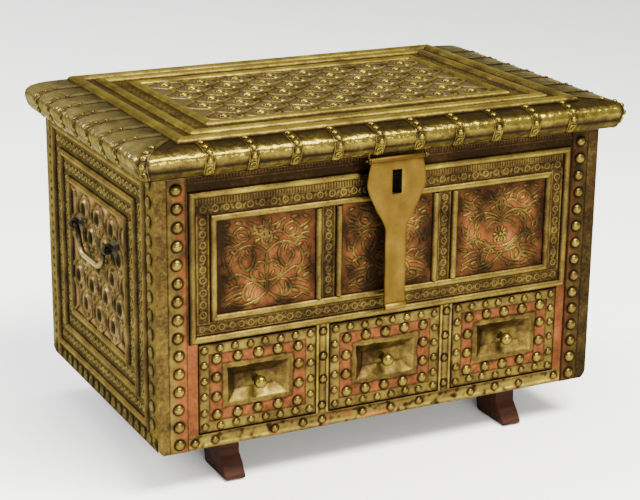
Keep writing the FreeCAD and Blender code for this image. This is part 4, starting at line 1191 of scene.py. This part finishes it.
def seat(s, row, lift):
    """The place and turn of a nail on the cushion edge."""
    point = edge_point(s, row, lift)
    outward, upward = edge_normal(row)
    plan, way = edge_place(s, edge_line[row][0])
    out = Vector((way.x * outward, way.y * outward, upward)).normalized()
    along = Vector((-way.y, way.x, 0)).normalized()
    turn = Matrix((along, out.cross(along), out)).transposed().to_4x4()
    return move(*point) @ turn


bm = bmesh.new()
tone = bm.verts.layers.float.new("tone")
for s, row in nail_seats:
    size, flatness = (3.7, 0.75) if edge_front(s) > 0.3 else (2.8, 0.55)
    place = seat(s + random.uniform(-0.8, 0.8), row, 0.6) @ Matrix.Diagonal((size, size, size * flatness, 1))
    made = bmesh.ops.create_uvsphere(bm, u_segments=12, v_segments=8, radius=1, matrix=place)
    for vert in made["verts"]:
        vert[tone] = size * 0.09 + 0.46 * max(0.0, (place.inverted() @ vert.co).z) ** 0.7
settle(bm, "edge_nails", "lid", stud_brass)
bm = bmesh.new()
for s, row in ring_seats:
    place = seat(s, row, 0.8)
    profile = [(4.4, 0), (4.2, 0.8), (3.5, 1.1), (2.8, 0.7), (2.4, 0.2), (1.7, 0.5), (0.9, 1.2), (0, 1.4)]
    join(bm, turned([(0, -0.6), (4.4, -0.6)] + profile, 12), place)
settle(bm, "edge_ring_nails", "lid", cushion_brass)

# The sheet on top and behind, frames, bands and the net with its studs
bm = slab(-TOP_X - 0.5, TOP_X + 0.5, -187, BACK_Y - 0.2, -1, 0)
for x0, x1 in ((-HALF_WIDTH - 5, -TOP_X), (TOP_X, HALF_WIDTH + 5)):
    join(bm, slab(x0, x1, BACK_Y - 1, BACK_Y - 0.1, -34.5, -2.2))
join(bm, slab(-TOP_X - 0.5, TOP_X + 0.5, BACK_Y - 1, BACK_Y, -34.8, -1.2))
settle(bm, "lid_top_sheet", "lid", dark_brass, TOP)
top_frame = (-TOP_X, TOP_X, LID_FRONT, BACK_Y)
bm = bmesh.new()
step = 0.0
for width, gap in ((17.0, 10.0), (14.0, 20.0), (13.0, 0.0)):
    edges = inset(*top_frame, step)
    # The rods that run from front to back take painted shade.
    join(bm, rods_round(*edges, width, 4.95, -0.12))
    pins_round(*edges, width / 2, 95)  # only for its random draws, which the ornament after it builds on
    step += width + gap
tone = bm.verts.layers.float["tone"]
for vert in bm.verts:
    vert[tone] += 0.09
settle(bm, "lid_rods", "lid", lid_rod_brass, TOP, ["lid_frames"])
bands_in = 41.0  # the bands lie inside the second frame
bm = bands_round(*inset(*top_frame, bands_in), LID_BAND, False, 0.16, -0.08, 15, 6.0, 0.7, 4.2)
settle(bm, "lid_bands", "lid", stamped_brass, TOP)
wide, tall, middle_y = 392.0, 227.0, (LID_FRONT + BACK_Y) / 2
net = Relief(-wide / 2, wide / 2, middle_y - tall / 2, middle_y + tall / 2, 1.15, 0.0)
net.tint += net.cloud(22, 3.3) * 0.22 + 0.21
net_ribs(net, wide, tall, middle_y, 1.9, 1.5)
for x, y in net_places(wide, tall, middle_y):
    net.ring(x, y, 8.4, 1.6, 1.0, 0.5)
    net_corners(net, x, y, 0.34, 4.6, 6.5, (5.5, 1.8, 1.2))
    net.dot(x + 1.5, y - 16.5, 3.6, 1.8)
    net.tint[net.spot(x + 1.5, y - 16.5, 2.4)[0]] += 0.25
    net.halo(x, y, 5.6, 0.36)
net.outlined(0.18)
settle(net.shape(gain=0.30, back=0.2), "lid_net", "lid", lid_net_metal, TOP @ move(0, 0, 1),
       ["lid_lattice"])
settle(domes(net_places(wide, tall, middle_y), 5.8, 3.9, 16, 0.70, 1.0), "lid_studs", "lid", stud_brass, TOP)


def hard_edges(bm, least):
    """The edges that bend by more than an angle in degrees."""
    return [edge for edge in bm.edges if len(edge.link_faces) == 2
            and math.degrees(edge.calc_face_angle(0)) > least]


# The feet, rounded from the construction's own shapes
for foot in ("front_foot_left", "front_foot_right", "back_foot_left", "back_foot_right"):
    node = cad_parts[foot]
    bm = bmesh.new()
    bm.from_mesh(node.data)
    bm.transform(node.matrix_world)
    bmesh.ops.remove_doubles(bm, verts=bm.verts, dist=0.00001)
    bmesh.ops.dissolve_limit(bm, angle_limit=math.radians(1), verts=bm.verts, edges=bm.edges)
    bmesh.ops.bevel(bm, geom=hard_edges(bm, 25.0), offset=1.6 * MM, affect="EDGES", segments=3, profile=0.5,
                    material=-1, clamp_overlap=True)
    settle(bm, foot + "_worn", "chest", foot_wood, Matrix.Identity(4), [foot])


# The hasp: how far down, and half its width there
HASP_HALF = np.array(smooth_path([(0, 36), (6, 36), (16, 38.4), (29.5, 40), (42, 36.8), (52, 31.6), (62, 27),
                                  (74, 19.6), (86, 14.4), (96, 14.25), (184.3, 14.25)], 1.0))
HASP_COLUMNS = 28
HASP_ROWS = 96


def hasp_plate(u, v):
    """The shaped plate, its grid laid so that the slot falls between whole cells."""
    down = float(np.interp(v * HASP_ROWS, [0, 7, 23, HASP_ROWS], [0, SLOT_TOP, SLOT_END, HASP_Z - LIP_Z]))
    half = float(np.interp(down, HASP_HALF[:, 0], HASP_HALF[:, 1]))
    column = abs(2 * u - 1) * HASP_COLUMNS / 2
    across = math.copysign(float(np.interp(column, [0, 4, HASP_COLUMNS / 2], [0, SLOT_HALF, half])), u - 0.5)
    worn = wobble(across / 14, down / 30, 4)
    fine = wobble(across / 5, down / 5, 8)
    tone = 0.49 + worn * 0.24 + fine * 0.08 - 0.20 * bell(half - abs(across), 1.6)
    tone -= 0.25 * bell(down, 7)
    return Vector((across, HASP_Y + 0.25 * worn, HASP_Z - down)), tone, 1.0


bm = grid_shape(HASP_COLUMNS, HASP_ROWS, hasp_plate)
slot = [face for face in bm.faces if abs(face.calc_center_median().x) < SLOT_HALF
        and SLOT_TOP < HASP_Z - face.calc_center_median().z < SLOT_END]
bmesh.ops.delete(bm, geom=slot, context="FACES")
for vert in second_skin(bm):
    vert.co.y += HASP_THICK
bmesh.ops.recalc_face_normals(bm, faces=bm.faces)
bmesh.ops.bevel(bm, geom=hard_edges(bm, 68.75), offset=0.45, affect="EDGES", segments=2, profile=0.5, material=-1)
barrel = turned([(1.62, -36), (3.2, -36), (3.5, -35.6), (3.5, 35.6), (3.2, 36), (1.62, 36), (1.62, -36)], 28)
# The barrel is painted dark, as painted shade against the glare of the lamps on it.
tone = barrel.verts.layers.float["tone"]
for vert in barrel.verts:
    vert[tone] = 0.25
crosswise = Matrix.Rotation(math.pi / 2, 4, "Y")
join(bm, barrel, move(0, HASP_Y + HASP_THICK / 2, HASP_Z) @ crosswise)
lip = turned([(0, -14.2), (3.7, -14.2), (4.2, -13.6), (4.2, 13.6), (3.7, 14.2), (0, 14.2)], 28)
join(bm, lip, move(0, HASP_Y, LIP_Z) @ crosswise)
settle(bm, "hasp_plate", "hasp", hasp_brass, WHOLE, ["hasp"])

# The bails and their eyes
for name, side in HANDS:
    pivot = Vector((side * BAIL_X, 0, BAIL_Z))
    half = [(12, -31), (26, -30.4), (36, -26), (42, -18), (44.2, -10), (47, -4), (53.5, -0.6), (60, 0), (67, 0)]
    corners = [(-y, z) for y, z in half[::-1]] + [(0, -31)] + half
    path = [pivot + Vector((0, y, z)) for y, z in smooth_path(corners, 2.2)]
    bm = tube(path, lambda u: 3.2 + 0.7 * max(0.0, 1 - (abs(u - 0.5) / 0.33) ** 4), 14,
              lambda u: 0.22 + 0.62 * max(0.0, 1 - (abs(u - 0.5) / 0.33) ** 4))
    settle(bm, "bail_" + name, "bail_" + name, grip_metal, WHOLE, ["side_bail_" + name])

bm = bmesh.new()
for side in (-1, 1):
    for y in (-BAIL_Y, BAIL_Y):
        ring = [Vector((side * BAIL_X + 5.5 * math.cos(a), y, BAIL_Z + 5.5 * math.sin(a)))
                for a in np.linspace(0, math.tau, 25)]
        join(bm, tube(ring, 2.0, 10, closed_ends=False))
        plate = turned([(0, 0), (11.8, 0), (11.6, 1.0), (9.0, 1.8), (6.2, 1.5), (4.8, 2.6), (3.0, 4.6), (2.2, 5.6),
                        (0, 5.6)])
        join(bm, plate, move(side * 300.8, y, BAIL_Z) @ Matrix.Rotation(side * math.pi / 2, 4, "Y"))
settle(bm, "handle_ears", "chest", iron, WHOLE, ["handle_eyes"])


# Construction pieces that stay in sight
finishes = {"front_sheet": dark_brass, "front_copper": copper, "front_corners": corner_brass,
            "back_corners": side_brass, "side_sheet_left": side_brass, "side_sheet_right": side_brass,
            "divider_strips": brass, "rail_strip": brass, "lid_copper": copper, "side_copper": copper,
            "hasp_eyes": dark_brass, "hasp_pin": dark_brass, "body_hinge_leaves": brass, "lid_hinge_leaves": brass,
            "hinge_pins": brass, "chest_floor": inside_wood, "lid_board": inside_wood}
for name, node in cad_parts.items():
    if node.type != "MESH":
        continue
    chosen = finishes.get(name, inside_wood if name.startswith("drawer_box") else wood)
    node.data.materials.clear()
    node.data.materials.append(chosen)


# Studio
bm = bmesh.new()
bmesh.ops.create_grid(bm, x_segments=2, y_segments=2, size=6)
floor_mesh = bpy.data.meshes.new("studio_floor")
bm.to_mesh(floor_mesh)
bm.free()
studio_floor = new_object("studio_floor", floor_mesh)
pale, tree, shader = blank("pale_floor")[:3]
feed(tree, shader, {"Base Color": (0.92, 0.92, 0.92, 1), "Roughness": 0.9})
floor_mesh.materials.append(pale)
studio_floor.location.z = -0.0005

world = bpy.data.worlds.new("studio")
bpy.context.scene.world = world
world.use_nodes = True
backdrop = world.node_tree.nodes["Background"]
backdrop.inputs["Color"].default_value = (1.0, 1.0, 1.0, 1)
backdrop.inputs["Strength"].default_value = 1.0


def lamp(name, place, aim, size, power, colour=(1, 1, 1)):
    data = bpy.data.lights.new(name, "AREA")
    data.shape = "RECTANGLE"
    data.size, data.size_y = size
    data.energy = power
    data.color = colour
    made = new_object(name, data)
    made.location = place
    made.rotation_euler = (Vector(aim) - Vector(place)).to_track_quat("-Z", "Y").to_euler()


lamp("key", (0.4, -1.2, 2.3), (0, 0, 0.25), (1.6, 0.9), 260, (1.0, 0.99, 0.90))
lamp("front", (-0.1, -2.4, 0.80), (0, 0, 0.4), (1.8, 0.50), 66, (1.0, 0.99, 0.88))
lamp("fill", (-2.0, -0.8, 1.0), (0, 0, 0.25), (0.9, 0.9), 12, (0.94, 0.97, 1.0))
lamp("top", (-0.3, 0.5, 2.2), (0, 0, 0.4), (1.3, 1.0), 50)
lamp("back", (-2.4, 2.6, 2.2), (0.9, 2.6, 0), (1.6, 1.6), 260)

# The camera, solved on measured points of the photo
azimuth, elevation, roll = math.radians(-26.83), math.radians(17.63), math.radians(0.60)
back = Vector((math.sin(azimuth) * math.cos(elevation), -math.cos(azimuth) * math.cos(elevation), math.sin(elevation)))
right = (-back).cross(Vector((0, 0, 1))).normalized()
up = right.cross(-back)
right, up = right * math.cos(roll) + up * math.sin(roll), up * math.cos(roll) - right * math.sin(roll)
lens = bpy.data.cameras.new("camera")
lens.lens = 100.62
lens.sensor_width = 36.0
lens.clip_end = 50
camera = new_object("camera", lens)
seen_from = Matrix((right, up, back)).transposed().to_4x4()
seen_from.translation = Vector((-1.0037, -1.98215, 0.9238))
camera.matrix_world = seen_from
bpy.context.scene.camera = camera
